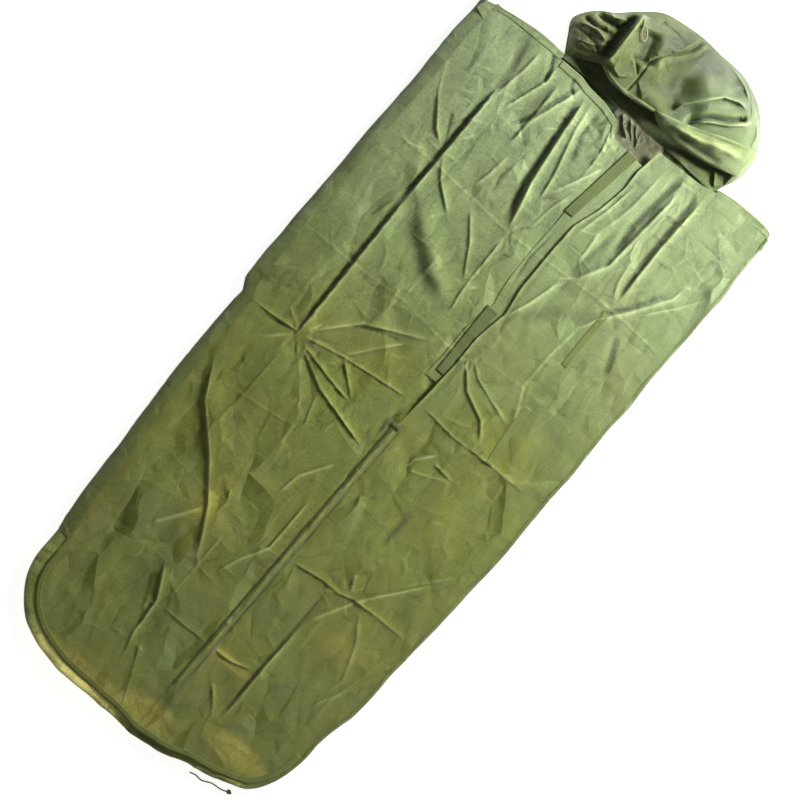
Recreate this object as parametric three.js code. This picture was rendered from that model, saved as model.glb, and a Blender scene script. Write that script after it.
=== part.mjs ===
// Bivy sack with a hood and a hook-and-loop front opening, laid out flat on its ground panel.
// Millimetres. +X runs across the sack, +Y from the foot to the hood, +Z up from the ground.
import * as THREE from 'three';

// ---- Driving dimensions: cloth ----
const CLOTH = 2; // one panel, with the thickness that its small creases give it
const GAP = 0.3; // clearance between pieces that touch
const HEM = 2; // extra layers of a turned and stitched hem
const TAPE = 1; // seam tape
const STRIP = 1.2; // hook tape and loop tape

// ---- Driving dimensions: body ----
const BODY_LENGTH = 1888; // foot to shoulder line
const BODY_WIDTH = 900; // from the shoulders to the knees
const FOOT_WIDTH = 800; // where the rounded foot starts
const FOOT_CURVE = 260; // length of the rounded foot
const FOOT_ROUNDNESS = 3; // exponent of the foot's superellipse
const TAPER_LENGTH = 710; // length over which the sack narrows towards the foot
const SEAM_HEIGHT = 24; // height of the seams that join the front to the sides
const CROWN = 14; // how far the middle of the front rises above those seams
const CROWN_RUN = 600; // length over which that rise dies out at the foot
const LEFT_SEAM_INSET = 35; // left seam, measured in from the edge as the sack lies
const RIGHT_SEAM_INSET = 11; // right seam, measured in from the edge as the sack lies
const SHOULDER_HEM_DEPTH = 12; // depth of the closed shoulder edges
const FOOT_HEM_WIDTH = 12;
const SEAM_TAPE_WIDTH = 20;

// ---- Driving dimensions: front opening ----
const SEAM_X = 60; // centre seam and opening, to the right of the middle
const OPENING_LENGTH = 890; // from the neck edge down to the bar tack
const OPENING_GAP = 3; // between the two lapels as they lie
const COLLAR_DROP = 26; // neck edge of the lapels below the shoulder line
const COLLAR_NOTCH = 42; // how far the left collar slopes down to the opening
const COLLAR_HEM_WIDTH = 18;
const LAPEL_FOLD_GAP = 2; // between each lapel and the fold line it turns on
const PLACKET_WIDTH = 38;
const PLACKET_TOP = 60; // top of the plackets below the shoulder line
const UPPER_STRIP_LENGTH = 200;
const LOWER_STRIP_LENGTH = 190;
const STRIP_WIDTH = 27;
const STRIP_SPACING = 290; // plain stretch between the two strips
const BAR_TACK_LENGTH = 10;
const BAR_TACK_WIDTH = 28;
const KEEPER_WIDTH = 17;
const KEEPER_LENGTH = 162;
const KEEPER_X = 200; // keeper strips to the right of the opening
const KEEPER_TOP = 400; // top of the upper keeper strip below the shoulder line
const KEEPER_SPACING = 128; // between the two keeper strips

// ---- Driving dimensions: hood ----
const NECK_WIDTH = 490;
const NECK_X = 27; // middle of the neck and hood
const HOOD_LENGTH = 258; // hood beyond the shoulder line
const HOOD_WIDTH = 556;
const HOOD_HEIGHT = 92;
const HOOD_FULLNESS = 1.4; // how far the dome's controls stand above its top
const HOOD_ROUNDNESS = 2.4; // exponent of the hood's superellipse
const HOOD_BACK_INSET = 6; // back panel inside the line where the hood meets the ground
const HOOD_RIM_HEIGHT = 44; // middle of the face opening's rim
const HOOD_BASE_SET = 10; // hood's widest ends beyond the shoulder line
const HOOD_RIM_SET = 16; // rim's ends beyond the shoulder line
const HOOD_RIM_BOW = 32; // middle of the rim beyond its ends
const HOOD_SEAM_SHARE = 0.46; // hood's centre seam, as a share of the way round
const BRIM_WIDTH = 28;
const BRIM_HEIGHT = 16;
const LOOP_LENGTH = 40;
const LOOP_WIDTH = 24;
const LOOP_CORD = 3.5;

// ---- Driving dimensions: neck lining and foot tie ----
const LINING_WIDTH = 150;
const LINING_LENGTH = 95;
const TIE_DIAMETER = 3.5;
const TIE_SECTION_SIDES = 8;
const KNOT_RADIUS = 6;

// Free end of the foot's tie cord, from the knot along the ground.
const TIE_ROUTE = [
  [313.5, -1031.0, 4.6],
  [306.0, -1034.8, 2.6],
  [297.5, -1037.0, 1.9],
  [288.5, -1037.8, 1.9],
  [279.5, -1038.6, 1.9],
  [270.5, -1041.2, 1.9],
  [261.5, -1045.6, 1.9],
  [252.5, -1049.6, 1.9],
  [243.5, -1050.4, 1.9],
  [234.5, -1049.4, 1.9],
  [225.5, -1051.0, 1.9],
  [217.5, -1054.0, 1.9],
];

// ---- Derived places ----
const FOOT_Y = -(BODY_LENGTH + HOOD_LENGTH) / 2;
const CURVE_Y = FOOT_Y + FOOT_CURVE;
const SHOULDER_Y = FOOT_Y + BODY_LENGTH;
const BODY_TOP_Y = SHOULDER_Y - SHOULDER_HEM_DEPTH - CLOTH / 2 - GAP;
const NECK_Y = SHOULDER_Y - COLLAR_DROP;
const OPENING_END_Y = NECK_Y - OPENING_LENGTH;
const NECK_LEFT = NECK_X - NECK_WIDTH / 2;
const NECK_RIGHT = NECK_X + NECK_WIDTH / 2;

// The front is sewn to the sides and the foot stitch by stitch, so their meshes share rows and columns.
const FRONT_ROWS = 22;
const KNEE_SHARE = 6 / FRONT_ROWS; // share of the way up at which the lower sides end
const FRONT_KINK = 12 / FRONT_ROWS; // share of the way up at which the opening starts
const LEFT_COLUMNS = 8;
const RIGHT_COLUMNS = 7;
const FOOT_STEPS = 2 * (LEFT_COLUMNS + RIGHT_COLUMNS);

const mix = THREE.MathUtils.lerp;
const clamp = THREE.MathUtils.clamp;
const flat = (x, y) => new THREE.Vector2(x, y);

// ---- Colours ----
const cloth = (color) => ({ color, roughness: 0.55, metalness: 0 });
const FRONT_CLOTH = cloth(0x828b52);
const SIDE_CLOTH = cloth(0x687046);
const GROUND_CLOTH = cloth(0x4d5433);
const HEM_CLOTH = cloth(0x757f4c);
const HOOD_CLOTH = cloth(0x8a9560);
const LINING_CLOTH = cloth(0x84806c);
const SEAM_TAPE = { color: 0x6a7050, roughness: 0.35, metalness: 0 };
const HOOK_AND_LOOP = { color: 0x5f6a3c, roughness: 0.95, metalness: 0 };
const CORD = { color: 0x6b6b4c, roughness: 0.85, metalness: 0 };

const group = new THREE.Group();

function addPiece(name, geometry, finish) {
  const mesh = new THREE.Mesh(geometry, new THREE.MeshStandardMaterial(finish));
  mesh.name = name;
  group.add(mesh);
  return mesh;
}

// ---- Shape helpers ----

// The direction square to the surface point(u, v).
function surfaceNormal(point, u, v) {
  const step = 1e-4;
  const alongU = point(Math.min(1, u + step), v).sub(point(Math.max(0, u - step), v));
  const alongV = point(u, Math.min(1, v + step)).sub(point(u, Math.max(0, v - step)));
  return alongU.cross(alongV).normalize();
}

const straightUp = () => new THREE.Vector3(0, 0, 1);

// A closed sheet of even thickness about the surface point(u, v), with u and v from 0 to 1.
// lift moves the whole sheet along the surface's normal.
function sheet(uSteps, vSteps, point, thickness, lift = 0, normal = surfaceNormal) {
  const corners = [];
  for (const side of [1, -1]) {
    for (let j = 0; j <= vSteps; j += 1) {
      for (let i = 0; i <= uSteps; i += 1) {
        const [u, v] = [i / uSteps, j / vSteps];
        const offset = lift + (side * thickness) / 2;
        corners.push(point(u, v).addScaledVector(normal(point, u, v), offset));
      }
    }
  }
  const row = uSteps + 1;
  const below = row * (vSteps + 1);
  const triangles = [];
  // Each cell is split along its shorter diagonal.
  const quad = (a, b, c, d) => {
    if (corners[a].distanceTo(corners[c]) <= corners[b].distanceTo(corners[d])) triangles.push(a, b, c, a, c, d);
    else triangles.push(a, b, d, b, c, d);
  };
  for (let j = 0; j < vSteps; j += 1) {
    for (let i = 0; i < uSteps; i += 1) {
      const a = j * row + i;
      quad(a, a + 1, a + row + 1, a + row);
      quad(below + a, below + a + row, below + a + row + 1, below + a + 1);
    }
  }
  for (let i = 0; i < uSteps; i += 1) {
    const near = i;
    const far = vSteps * row + i;
    quad(near + 1, near, below + near, below + near + 1);
    quad(far, far + 1, below + far + 1, below + far);
  }
  for (let j = 0; j < vSteps; j += 1) {
    const left = j * row;
    const right = left + uSteps;
    quad(left, left + row, below + left + row, below + left);
    quad(right + row, right, below + right, below + right + row);
  }
  return closedGeometry(corners, triangles);
}

function closedGeometry(corners, triangles) {
  const geometry = new THREE.BufferGeometry().setFromPoints(corners);
  geometry.setIndex(triangles);
  geometry.computeVertexNormals();
  return geometry;
}

// A flat panel lying on the ground inside a plan outline.
function groundSheet(outline, thickness, bottom = 0) {
  const shape = new THREE.Shape(outline);
  const geometry = new THREE.ExtrudeGeometry(shape, { depth: thickness, bevelEnabled: false });
  return geometry.translate(0, 0, bottom);
}

// Point at a share of the way along straight legs given as [share, x, y].
function alongLegs(legs, share) {
  const next = legs.findIndex((leg, index) => index > 0 && share <= leg[0]);
  const [from, to] = [legs[next - 1], legs[next]];
  const t = (share - from[0]) / (to[0] - from[0]);
  return flat(mix(from[1], to[1], t), mix(from[2], to[2], t));
}

// Plan point inside four edges: left and right are functions of v, near and far of u.
function insideEdges({ left, right, near, far }, u, v) {
  const sides = left(v).multiplyScalar(1 - u).add(right(v).multiplyScalar(u));
  const ends = near(u).multiplyScalar(1 - v).add(far(u).multiplyScalar(v));
  const corners = left(0).multiplyScalar((1 - u) * (1 - v))
    .add(right(0).multiplyScalar(u * (1 - v)))
    .add(left(1).multiplyScalar((1 - u) * v))
    .add(right(1).multiplyScalar(u * v));
  return sides.add(ends).sub(corners);
}

// Part of a surface, between two shares each way.
function partOf(point, [u0, u1], [v0, v1]) {
  return (u, v) => point(mix(u0, u1, u), mix(v0, v1, v));
}

// ---- Plan outline of the body ----

function halfWidth(y) {
  const t = clamp((y - CURVE_Y) / TAPER_LENGTH, 0, 1);
  return mix(FOOT_WIDTH / 2, BODY_WIDTH / 2, t * (2 - t));
}

// The rounded foot, from the left side (share 0) to the right side (share 1).
function footOutline(share) {
  const angle = Math.PI * share;
  const across = Math.abs(Math.cos(angle)) / (FOOT_WIDTH / 2);
  const along = Math.abs(Math.sin(angle)) / FOOT_CURVE;
  const sum = across ** FOOT_ROUNDNESS + along ** FOOT_ROUNDNESS;
  const radius = sum ** (-1 / FOOT_ROUNDNESS);
  return flat(-radius * Math.cos(angle), CURVE_Y - radius * Math.sin(angle));
}

function footInside(share, inset) {
  const step = 1e-4;
  const tangent = footOutline(Math.min(1, share + step)).sub(footOutline(Math.max(0, share - step)));
  tangent.normalize();
  return footOutline(share).add(flat(-tangent.y, tangent.x).multiplyScalar(inset));
}

const footSeamInset = (share) => mix(LEFT_SEAM_INSET, RIGHT_SEAM_INSET, share);
const rimInset = (seamInset) => CLOTH / 2 + seamInset + GAP;
const footRim = (share, further = 0) => footInside(share, rimInset(footSeamInset(share)) + further);
const leftRim = (y, further = 0) => -halfWidth(y) + rimInset(LEFT_SEAM_INSET) + further;
const rightRim = (y, further = 0) => halfWidth(y) - rimInset(RIGHT_SEAM_INSET) - further;

// Share of the way round the foot at which its rim crosses the plan line at x.
function footShareAt(x) {
  let [low, high] = [0, 1];
  while (high - low > 1e-9) {
    const middle = (low + high) / 2;
    if (footRim(middle).x < x) low = middle;
    else high = middle;
  }
  return low;
}

// The same share for a step count from 0 to FOOT_STEPS, with a step wherever a front column ends.
function footShare(step) {
  const seam = footShareAt(SEAM_X);
  const leftSteps = 2 * LEFT_COLUMNS;
  if (step <= leftSteps) return (seam * step) / leftSteps;
  return mix(seam, 1, (step - leftSteps) / (2 * RIGHT_COLUMNS));
}

// Height of the middle of the front cloth.
function frontHeight(x, y) {
  const [left, right] = [leftRim(y), rightRim(y)];
  const across = clamp((2 * x - left - right) / (right - left), -1, 1);
  const run = clamp((y - FOOT_Y) / CROWN_RUN, 0, 1);
  const rise = 0.5 - 0.5 * Math.cos(Math.PI * run);
  return SEAM_HEIGHT + CROWN * rise * (1 - across ** 2);
}

const onFront = (plan) => new THREE.Vector3(plan.x, plan.y, frontHeight(plan.x, plan.y));

// Layers of the nearly level front are stacked straight up, so that they lie evenly on each other.
function frontSheet(uSteps, vSteps, point, thickness, lift = 0) {
  return sheet(uSteps, vSteps, point, thickness, lift, straightUp);
}

// A band on the front cloth between the plan lines left(y) and right(y).
function frontBand({ from, to, left, right, steps, thickness, lift }) {
  const point = (u, v) => {
    const y = mix(from, to, v);
    return onFront(flat(mix(left(y), right(y), u), y));
  };
  return frontSheet(2, steps, point, thickness, lift);
}

// ---- Body ----

// The half-round wall that joins the ground panel to the front, from bottom (q 0) to top (q 1).
function wallPoint(edgeInside, seamInset, q) {
  const angle = Math.PI * (q - 0.5);
  const plan = edgeInside(CLOTH / 2 + seamInset * (1 - Math.cos(angle)));
  return new THREE.Vector3(plan.x, plan.y, mix(CLOTH / 2, SEAM_HEIGHT, (1 + Math.sin(angle)) / 2));
}

// Shares of two neighbouring stretches of one cloth, parted by the usual clearance.
function stretches(cuts) {
  const half = GAP / 2 / (BODY_TOP_Y - CURVE_Y);
  return cuts.slice(1).map((to, index) => {
    const from = cuts[index];
    return [from === 0 ? 0 : from + half, to === 1 ? 1 : to - half];
  });
}

function addWalls() {
  const left = (u, v) => {
    const y = mix(CURVE_Y, BODY_TOP_Y, v);
    return wallPoint((inset) => flat(-halfWidth(y) + inset, y), LEFT_SEAM_INSET, u);
  };
  const right = (u, v) => {
    const y = mix(CURVE_Y, BODY_TOP_Y, v);
    return wallPoint((inset) => flat(halfWidth(y) - inset, y), RIGHT_SEAM_INSET, u);
  };
  const end = (1.5 * GAP) / (Math.PI * (FOOT_WIDTH / 2));
  const foot = (u, v) => {
    const share = clamp(footShare(u * FOOT_STEPS), end, 1 - end);
    return wallPoint((inset) => footInside(share, inset), footSeamInset(share), v);
  };
  const places = ['lower', 'middle', 'upper'];
  stretches([0, KNEE_SHARE, FRONT_KINK, 1]).forEach((part, index) => {
    const rows = Math.round((part[1] - part[0]) * FRONT_ROWS);
    addPiece(`left_side_panel_${places[index]}`,
      sheet(8, rows, partOf(left, [0, 1], part), CLOTH), SIDE_CLOTH);
    addPiece(`right_side_panel_${places[index]}`,
      sheet(8, rows, partOf(right, [0, 1], part), CLOTH), SIDE_CLOTH);
  });
  addPiece('foot_panel', sheet(FOOT_STEPS, 8, foot, CLOTH), SIDE_CLOTH);
}

// The closed edges on either side of the neck, where front and ground panels are hemmed together.
function addShoulderHems() {
  const hem = (x0, x1) => (u, v) => {
    const x = mix(x0, x1, u);
    return wallPoint((inset) => flat(x, SHOULDER_Y - inset), SHOULDER_HEM_DEPTH, v);
  };
  const half = BODY_WIDTH / 2;
  addPiece('left_shoulder_hem', sheet(4, 8, hem(-half, NECK_LEFT), CLOTH), HEM_CLOTH);
  addPiece('right_shoulder_hem', sheet(4, 8, hem(NECK_RIGHT, half), CLOTH), HEM_CLOTH);
}

function addGroundPanel() {
  const outline = [];
  for (let i = 0; i <= FRONT_ROWS; i += 1) {
    const y = mix(BODY_TOP_Y, CURVE_Y, i / FRONT_ROWS);
    outline.push(flat(leftRim(y), y));
  }
  for (let i = 1; i < FOOT_STEPS; i += 1) outline.push(footRim(footShare(i)));
  for (let i = 0; i <= FRONT_ROWS; i += 1) {
    const y = mix(CURVE_Y, BODY_TOP_Y, i / FRONT_ROWS);
    outline.push(flat(rightRim(y), y));
  }
  outline.push(flat(NECK_RIGHT - GAP, BODY_TOP_Y), flat(NECK_RIGHT - GAP, SHOULDER_Y));
  outline.push(flat(NECK_LEFT + GAP, SHOULDER_Y), flat(NECK_LEFT + GAP, BODY_TOP_Y));
  addPiece('ground_panel', groundSheet(outline, CLOTH), GROUND_CLOTH);
}

// Fold lines of the lapels, from the end of the opening to the corners of the neck.
const foldX = (cornerX, y) => mix(SEAM_X, cornerX, (y - OPENING_END_Y) / (BODY_TOP_Y - OPENING_END_Y));
const leftFoldX = (y) => foldX(NECK_LEFT, y);
const rightFoldX = (y) => foldX(NECK_RIGHT, y);

function leftFrontPoint(u, v) {
  const seamX = SEAM_X - GAP / 2;
  const share = footShareAt(seamX);
  const foot = footRim(share);
  const legs = [
    [0, foot.x, foot.y],
    [FRONT_KINK, seamX, OPENING_END_Y],
    [1, NECK_LEFT - GAP, BODY_TOP_Y],
  ];
  const edges = {
    left: (t) => {
      const y = mix(CURVE_Y, BODY_TOP_Y, t);
      return flat(leftRim(y), y);
    },
    right: (t) => alongLegs(legs, t),
    near: (t) => footRim(Math.min(share, footShare(2 * LEFT_COLUMNS * t))),
    far: (t) => flat(mix(leftRim(BODY_TOP_Y), NECK_LEFT - GAP, t), BODY_TOP_Y),
  };
  return onFront(insideEdges(edges, u, v));
}

function rightFrontPoint(u, v) {
  const seamX = SEAM_X + GAP / 2;
  const share = footShareAt(seamX);
  const foot = footRim(share);
  const legs = [
    [0, foot.x, foot.y],
    [FRONT_KINK, seamX, OPENING_END_Y],
    [1, NECK_RIGHT + GAP, BODY_TOP_Y],
  ];
  const edges = {
    left: (t) => alongLegs(legs, t),
    right: (t) => {
      const y = mix(CURVE_Y, BODY_TOP_Y, t);
      return flat(rightRim(y), y);
    },
    near: (t) => footRim(Math.max(share, footShare(FOOT_STEPS - 2 * RIGHT_COLUMNS * (1 - t)))),
    far: (t) => flat(mix(NECK_RIGHT + GAP, rightRim(BODY_TOP_Y), t), BODY_TOP_Y),
  };
  return onFront(insideEdges(edges, u, v));
}

function addFrontPanels() {
  const places = ['lower', 'upper'];
  stretches([0, FRONT_KINK, 1]).forEach((part, index) => {
    const rows = Math.round((part[1] - part[0]) * FRONT_ROWS);
    const left = partOf(leftFrontPoint, [0, 1], part);
    const right = partOf(rightFrontPoint, [0, 1], part);
    addPiece(`left_front_panel_${places[index]}`,
      frontSheet(LEFT_COLUMNS, rows, left, CLOTH), FRONT_CLOTH);
    addPiece(`right_front_panel_${places[index]}`,
      frontSheet(RIGHT_COLUMNS, rows, right, CLOTH), FRONT_CLOTH);
  });
}

function addFootHem() {
  const band = (width) => (u, v) => onFront(footRim(mix(0.03, 0.97, u), mix(1, width, v)));
  const above = CLOTH / 2 + GAP + HEM / 2;
  const below = -(CLOTH / 2 + GAP + TAPE / 2);
  addPiece('foot_hem', frontSheet(28, 2, band(FOOT_HEM_WIDTH), HEM, above), HEM_CLOTH);
  addPiece('foot_seam_tape', frontSheet(28, 1, band(SEAM_TAPE_WIDTH / 2), TAPE, below), SEAM_TAPE);
}

function addSeamTapes() {
  const under = -(CLOTH / 2 + GAP + TAPE / 2);
  const half = SEAM_TAPE_WIDTH / 2;
  const common = { to: BODY_TOP_Y - 2, steps: 12, thickness: TAPE, lift: under };
  addPiece('left_seam_tape', frontBand({
    ...common, from: CURVE_Y + half, left: (y) => leftRim(y, 1), right: (y) => leftRim(y, half),
  }), SEAM_TAPE);
  addPiece('right_seam_tape', frontBand({
    ...common, from: CURVE_Y + half, left: (y) => rightRim(y, half), right: (y) => rightRim(y, 1),
  }), SEAM_TAPE);
  addPiece('centre_seam_tape', frontBand({
    ...common,
    from: FOOT_Y + rimInset(LEFT_SEAM_INSET) + SEAM_TAPE_WIDTH,
    to: OPENING_END_Y - BAR_TACK_LENGTH,
    left: () => SEAM_X - half,
    right: () => SEAM_X + half,
  }), SEAM_TAPE);
}

function addKeeperStrips() {
  const lift = CLOTH / 2 + GAP + STRIP / 2;
  const left = SEAM_X + KEEPER_X - KEEPER_WIDTH / 2;
  let top = SHOULDER_Y - KEEPER_TOP;
  for (const name of ['keeper_strip_upper', 'keeper_strip_lower']) {
    addPiece(name, frontBand({
      from: top - KEEPER_LENGTH,
      to: top,
      left: () => left,
      right: () => left + KEEPER_WIDTH,
      steps: 4,
      thickness: STRIP,
      lift,
    }), HOOK_AND_LOOP);
    top -= KEEPER_LENGTH + KEEPER_SPACING;
  }
}

function addBarTack() {
  addPiece('opening_bar_tack', frontBand({
    from: OPENING_END_Y - BAR_TACK_LENGTH,
    to: OPENING_END_Y - 1,
    left: () => SEAM_X - BAR_TACK_WIDTH / 2,
    right: () => SEAM_X + BAR_TACK_WIDTH / 2,
    steps: 1,
    thickness: HEM,
    lift: CLOTH / 2 + GAP + HEM / 2,
  }), HEM_CLOTH);
}

// ---- Lapels: the two halves of the front opening ----

const LAPEL_BOTTOM_Y = OPENING_END_Y + 25;
const OPENING_LEFT = SEAM_X - OPENING_GAP / 2;
const OPENING_RIGHT = SEAM_X + OPENING_GAP / 2;

// u runs from the fold line to the opening, v from the end of the opening to the neck.
function leftLapelPoint(u, v) {
  const top = (t) => NECK_Y - COLLAR_NOTCH * THREE.MathUtils.smoothstep(t, 0.4, 1);
  const edges = {
    left: (t) => {
      const y = mix(LAPEL_BOTTOM_Y, NECK_Y, t);
      return flat(leftFoldX(y) + LAPEL_FOLD_GAP, y);
    },
    right: (t) => flat(OPENING_LEFT, mix(LAPEL_BOTTOM_Y, NECK_Y - COLLAR_NOTCH, t)),
    near: (t) => flat(mix(leftFoldX(LAPEL_BOTTOM_Y) + LAPEL_FOLD_GAP, OPENING_LEFT, t), LAPEL_BOTTOM_Y),
    far: (t) => flat(mix(leftFoldX(NECK_Y) + LAPEL_FOLD_GAP, OPENING_LEFT, t), top(t)),
  };
  return onFront(insideEdges(edges, u, v));
}

// u runs from the opening to the fold line, v from the end of the opening to the neck.
function rightLapelPoint(u, v) {
  const y = mix(LAPEL_BOTTOM_Y, NECK_Y, v);
  return onFront(flat(mix(OPENING_RIGHT, rightFoldX(y) - LAPEL_FOLD_GAP, u), y));
}

function addLapels() {
  addPiece('left_lapel_panel', frontSheet(6, 14, leftLapelPoint, CLOTH), FRONT_CLOTH);
  addPiece('right_lapel_panel', frontSheet(6, 14, rightLapelPoint, CLOTH), FRONT_CLOTH);
  const hemShare = 1 - COLLAR_HEM_WIDTH / (NECK_Y - LAPEL_BOTTOM_Y);
  const lift = CLOTH / 2 + GAP + HEM / 2;
  const inner = [0.01, 0.99];
  addPiece('left_collar_hem',
    frontSheet(12, 1, partOf(leftLapelPoint, inner, [hemShare, 0.999]), HEM, lift), HEM_CLOTH);
  addPiece('right_collar_hem',
    frontSheet(12, 1, partOf(rightLapelPoint, inner, [hemShare, 0.999]), HEM, lift), HEM_CLOTH);
}

// Hook and loop tapes, each on its placket: loop on top of the left edge, hook under the right one.
function addClosure() {
  const top = SHOULDER_Y - PLACKET_TOP - COLLAR_NOTCH;
  const upperFrom = top - UPPER_STRIP_LENGTH;
  const lowerTo = upperFrom - STRIP_SPACING;
  const lowerFrom = lowerTo - LOWER_STRIP_LENGTH;
  const margin = (PLACKET_WIDTH - STRIP_WIDTH) / 2;
  const strips = { upper: [upperFrom, top], lower: [lowerFrom, lowerTo] };
  const placketLift = CLOTH / 2 + GAP + HEM / 2;
  const stripLift = placketLift + HEM / 2 + GAP + STRIP / 2;
  // The plackets are trimmed where the lapels narrow towards the end of the opening.
  const trim = 2 * LAPEL_FOLD_GAP;
  const sides = [
    { placket: 'left_placket', strip: 'loop_strip', edge: OPENING_LEFT - PLACKET_WIDTH, up: 1 },
    { placket: 'right_placket', strip: 'hook_strip', edge: OPENING_RIGHT, up: -1 },
  ];
  for (const { placket, strip, edge, up } of sides) {
    addPiece(placket, frontBand({
      from: lowerFrom - margin,
      to: top + margin,
      left: (y) => Math.max(edge, leftFoldX(y) + trim),
      right: (y) => Math.min(edge + PLACKET_WIDTH, rightFoldX(y) - trim),
      steps: 12,
      thickness: HEM,
      lift: up * placketLift,
    }), HEM_CLOTH);
    for (const [place, [from, to]] of Object.entries(strips)) {
      addPiece(`${strip}_${place}`, frontBand({
        from,
        to,
        left: () => edge + margin,
        right: () => edge + margin + STRIP_WIDTH,
        steps: 4,
        thickness: STRIP,
        lift: up * stripLift,
      }), HOOK_AND_LOOP);
    }
  }
}

// ---- Neck ----

function addNeckPieces() {
  const bottom = CLOTH + GAP;
  const lining = (u, v) => {
    const x = SEAM_X + LINING_WIDTH * (u - 0.5);
    const y = SHOULDER_Y - SEAM_TAPE_WIDTH - GAP - LINING_LENGTH * (1 - v);
    return new THREE.Vector3(x, y, bottom + CLOTH / 2);
  };
  addPiece('neck_lining', sheet(2, 2, lining, CLOTH), LINING_CLOTH);
  const tape = [
    flat(NECK_LEFT + 2, SHOULDER_Y - SEAM_TAPE_WIDTH),
    flat(NECK_RIGHT - 2, SHOULDER_Y - SEAM_TAPE_WIDTH),
    flat(NECK_RIGHT - 2, SHOULDER_Y - 1),
    flat(NECK_LEFT + 2, SHOULDER_Y - 1),
  ];
  addPiece('neck_seam_tape', groundSheet(tape, TAPE, bottom), SEAM_TAPE);
}

// ---- Hood ----

const HOOD_BASE_Y = SHOULDER_Y + HOOD_BASE_SET;

// The line where the hood meets the ground, from its left end (t 0) to its right end (t 1).
function hoodOutline(t, inset = 0) {
  const angle = Math.PI * t;
  const [halfW, reach] = [HOOD_WIDTH / 2 - inset, SHOULDER_Y + HOOD_LENGTH - HOOD_BASE_Y - inset];
  const across = Math.abs(Math.cos(angle)) / halfW;
  const along = Math.abs(Math.sin(angle)) / reach;
  const radius = (across ** HOOD_ROUNDNESS + along ** HOOD_ROUNDNESS) ** (-1 / HOOD_ROUNDNESS);
  return flat(NECK_X - radius * Math.cos(angle), HOOD_BASE_Y + radius * Math.sin(angle));
}

const HOOD_EDGE_HEIGHT = CLOTH + GAP + CLOTH / 2;

// The rim of the face opening, from the left corner of the neck (t 0) to the right one (t 1).
function hoodRim(t) {
  const bow = Math.sin(Math.PI * t) ** 0.8;
  const margin = 12;
  return new THREE.Vector3(
    mix(NECK_LEFT + margin, NECK_RIGHT - margin, t),
    SHOULDER_Y + HOOD_RIM_SET + HOOD_RIM_BOW * bow,
    mix(HOOD_EDGE_HEIGHT + 5, HOOD_RIM_HEIGHT, bow),
  );
}

// The domed cloth of the hood: t runs round the rim, v from the rim to the ground.
function hoodPoint(t, v) {
  const rim = hoodRim(t);
  const ground = hoodOutline(t);
  const bow = Math.sin(Math.PI * t) ** 0.6;
  const peak = HOOD_HEIGHT * HOOD_FULLNESS * bow;
  const w = 1 - v;
  const height = rim.z * w ** 3 + 3 * peak * w * w * v + 3 * peak * 0.72 * w * v * v;
  return new THREE.Vector3(
    mix(rim.x, ground.x, v),
    mix(rim.y, ground.y, v),
    height + HOOD_EDGE_HEIGHT * v ** 3,
  );
}

function addHood() {
  const backSteps = 20;
  const back = [];
  for (let i = 0; i <= backSteps; i += 1) back.push(hoodOutline(1 - i / backSteps, HOOD_BACK_INSET));
  back.push(flat(NECK_LEFT + GAP, SHOULDER_Y + GAP), flat(NECK_RIGHT - GAP, SHOULDER_Y + GAP));
  addPiece('hood_back_panel', groundSheet(back, CLOTH), GROUND_CLOTH);

  const seamGap = 0.0006;
  const leftShares = [0.01, HOOD_SEAM_SHARE - seamGap];
  const rightShares = [HOOD_SEAM_SHARE + seamGap, 0.99];
  addPiece('hood_left_panel',
    sheet(10, 10, partOf(hoodPoint, leftShares, [0, 1]), CLOTH), HOOD_CLOTH);
  addPiece('hood_right_panel',
    sheet(12, 10, partOf(hoodPoint, rightShares, [0, 1]), CLOTH), HOOD_CLOTH);

  const tapeShares = [HOOD_SEAM_SHARE - 0.018, HOOD_SEAM_SHARE + 0.018];
  const tape = sheet(2, 10, partOf(hoodPoint, tapeShares, [0.03, 0.93]), TAPE, -(CLOTH / 2 + GAP + TAPE));
  addPiece('hood_seam_tape', tape, SEAM_TAPE);
}

// Rolled brims along the rim of the face opening.
function addBrims() {
  const sections = 10;
  const brim = (from, to) => {
    const places = [];
    for (let i = 0; i <= sections; i += 1) {
      const place = hoodRim(mix(from, to, i / sections));
      places.push(place.add(new THREE.Vector3(0, -(BRIM_WIDTH / 2 + CLOTH), 0)));
    }
    return sweep(places, BRIM_WIDTH / 2, BRIM_HEIGHT / 2, 12);
  };
  const seamGap = 0.001;
  addPiece('hood_left_brim', brim(0.08, HOOD_SEAM_SHARE - seamGap), HEM_CLOTH);
  addPiece('hood_right_brim', brim(HOOD_SEAM_SHARE + seamGap, 0.92), HEM_CLOTH);
}

// A closed roll of oval section, wide along Y and high along Z, through the given places.
function sweep(places, halfWide, halfHigh, sides) {
  const corners = [];
  for (const place of places) {
    for (let k = 0; k < sides; k += 1) {
      const angle = (2 * Math.PI * k) / sides;
      const across = new THREE.Vector3(0, halfWide * Math.cos(angle), halfHigh * Math.sin(angle));
      corners.push(place.clone().add(across));
    }
  }
  const triangles = [];
  const last = (places.length - 1) * sides;
  for (let i = 0; i < places.length - 1; i += 1) {
    for (let k = 0; k < sides; k += 1) {
      const [a, b] = [i * sides + k, i * sides + ((k + 1) % sides)];
      triangles.push(a, b, b + sides, a, b + sides, a + sides);
    }
  }
  for (let k = 1; k < sides - 1; k += 1) {
    triangles.push(0, k + 1, k);
    triangles.push(last, last + k, last + k + 1);
  }
  return closedGeometry(corners, triangles);
}

// ---- Cords ----

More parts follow.
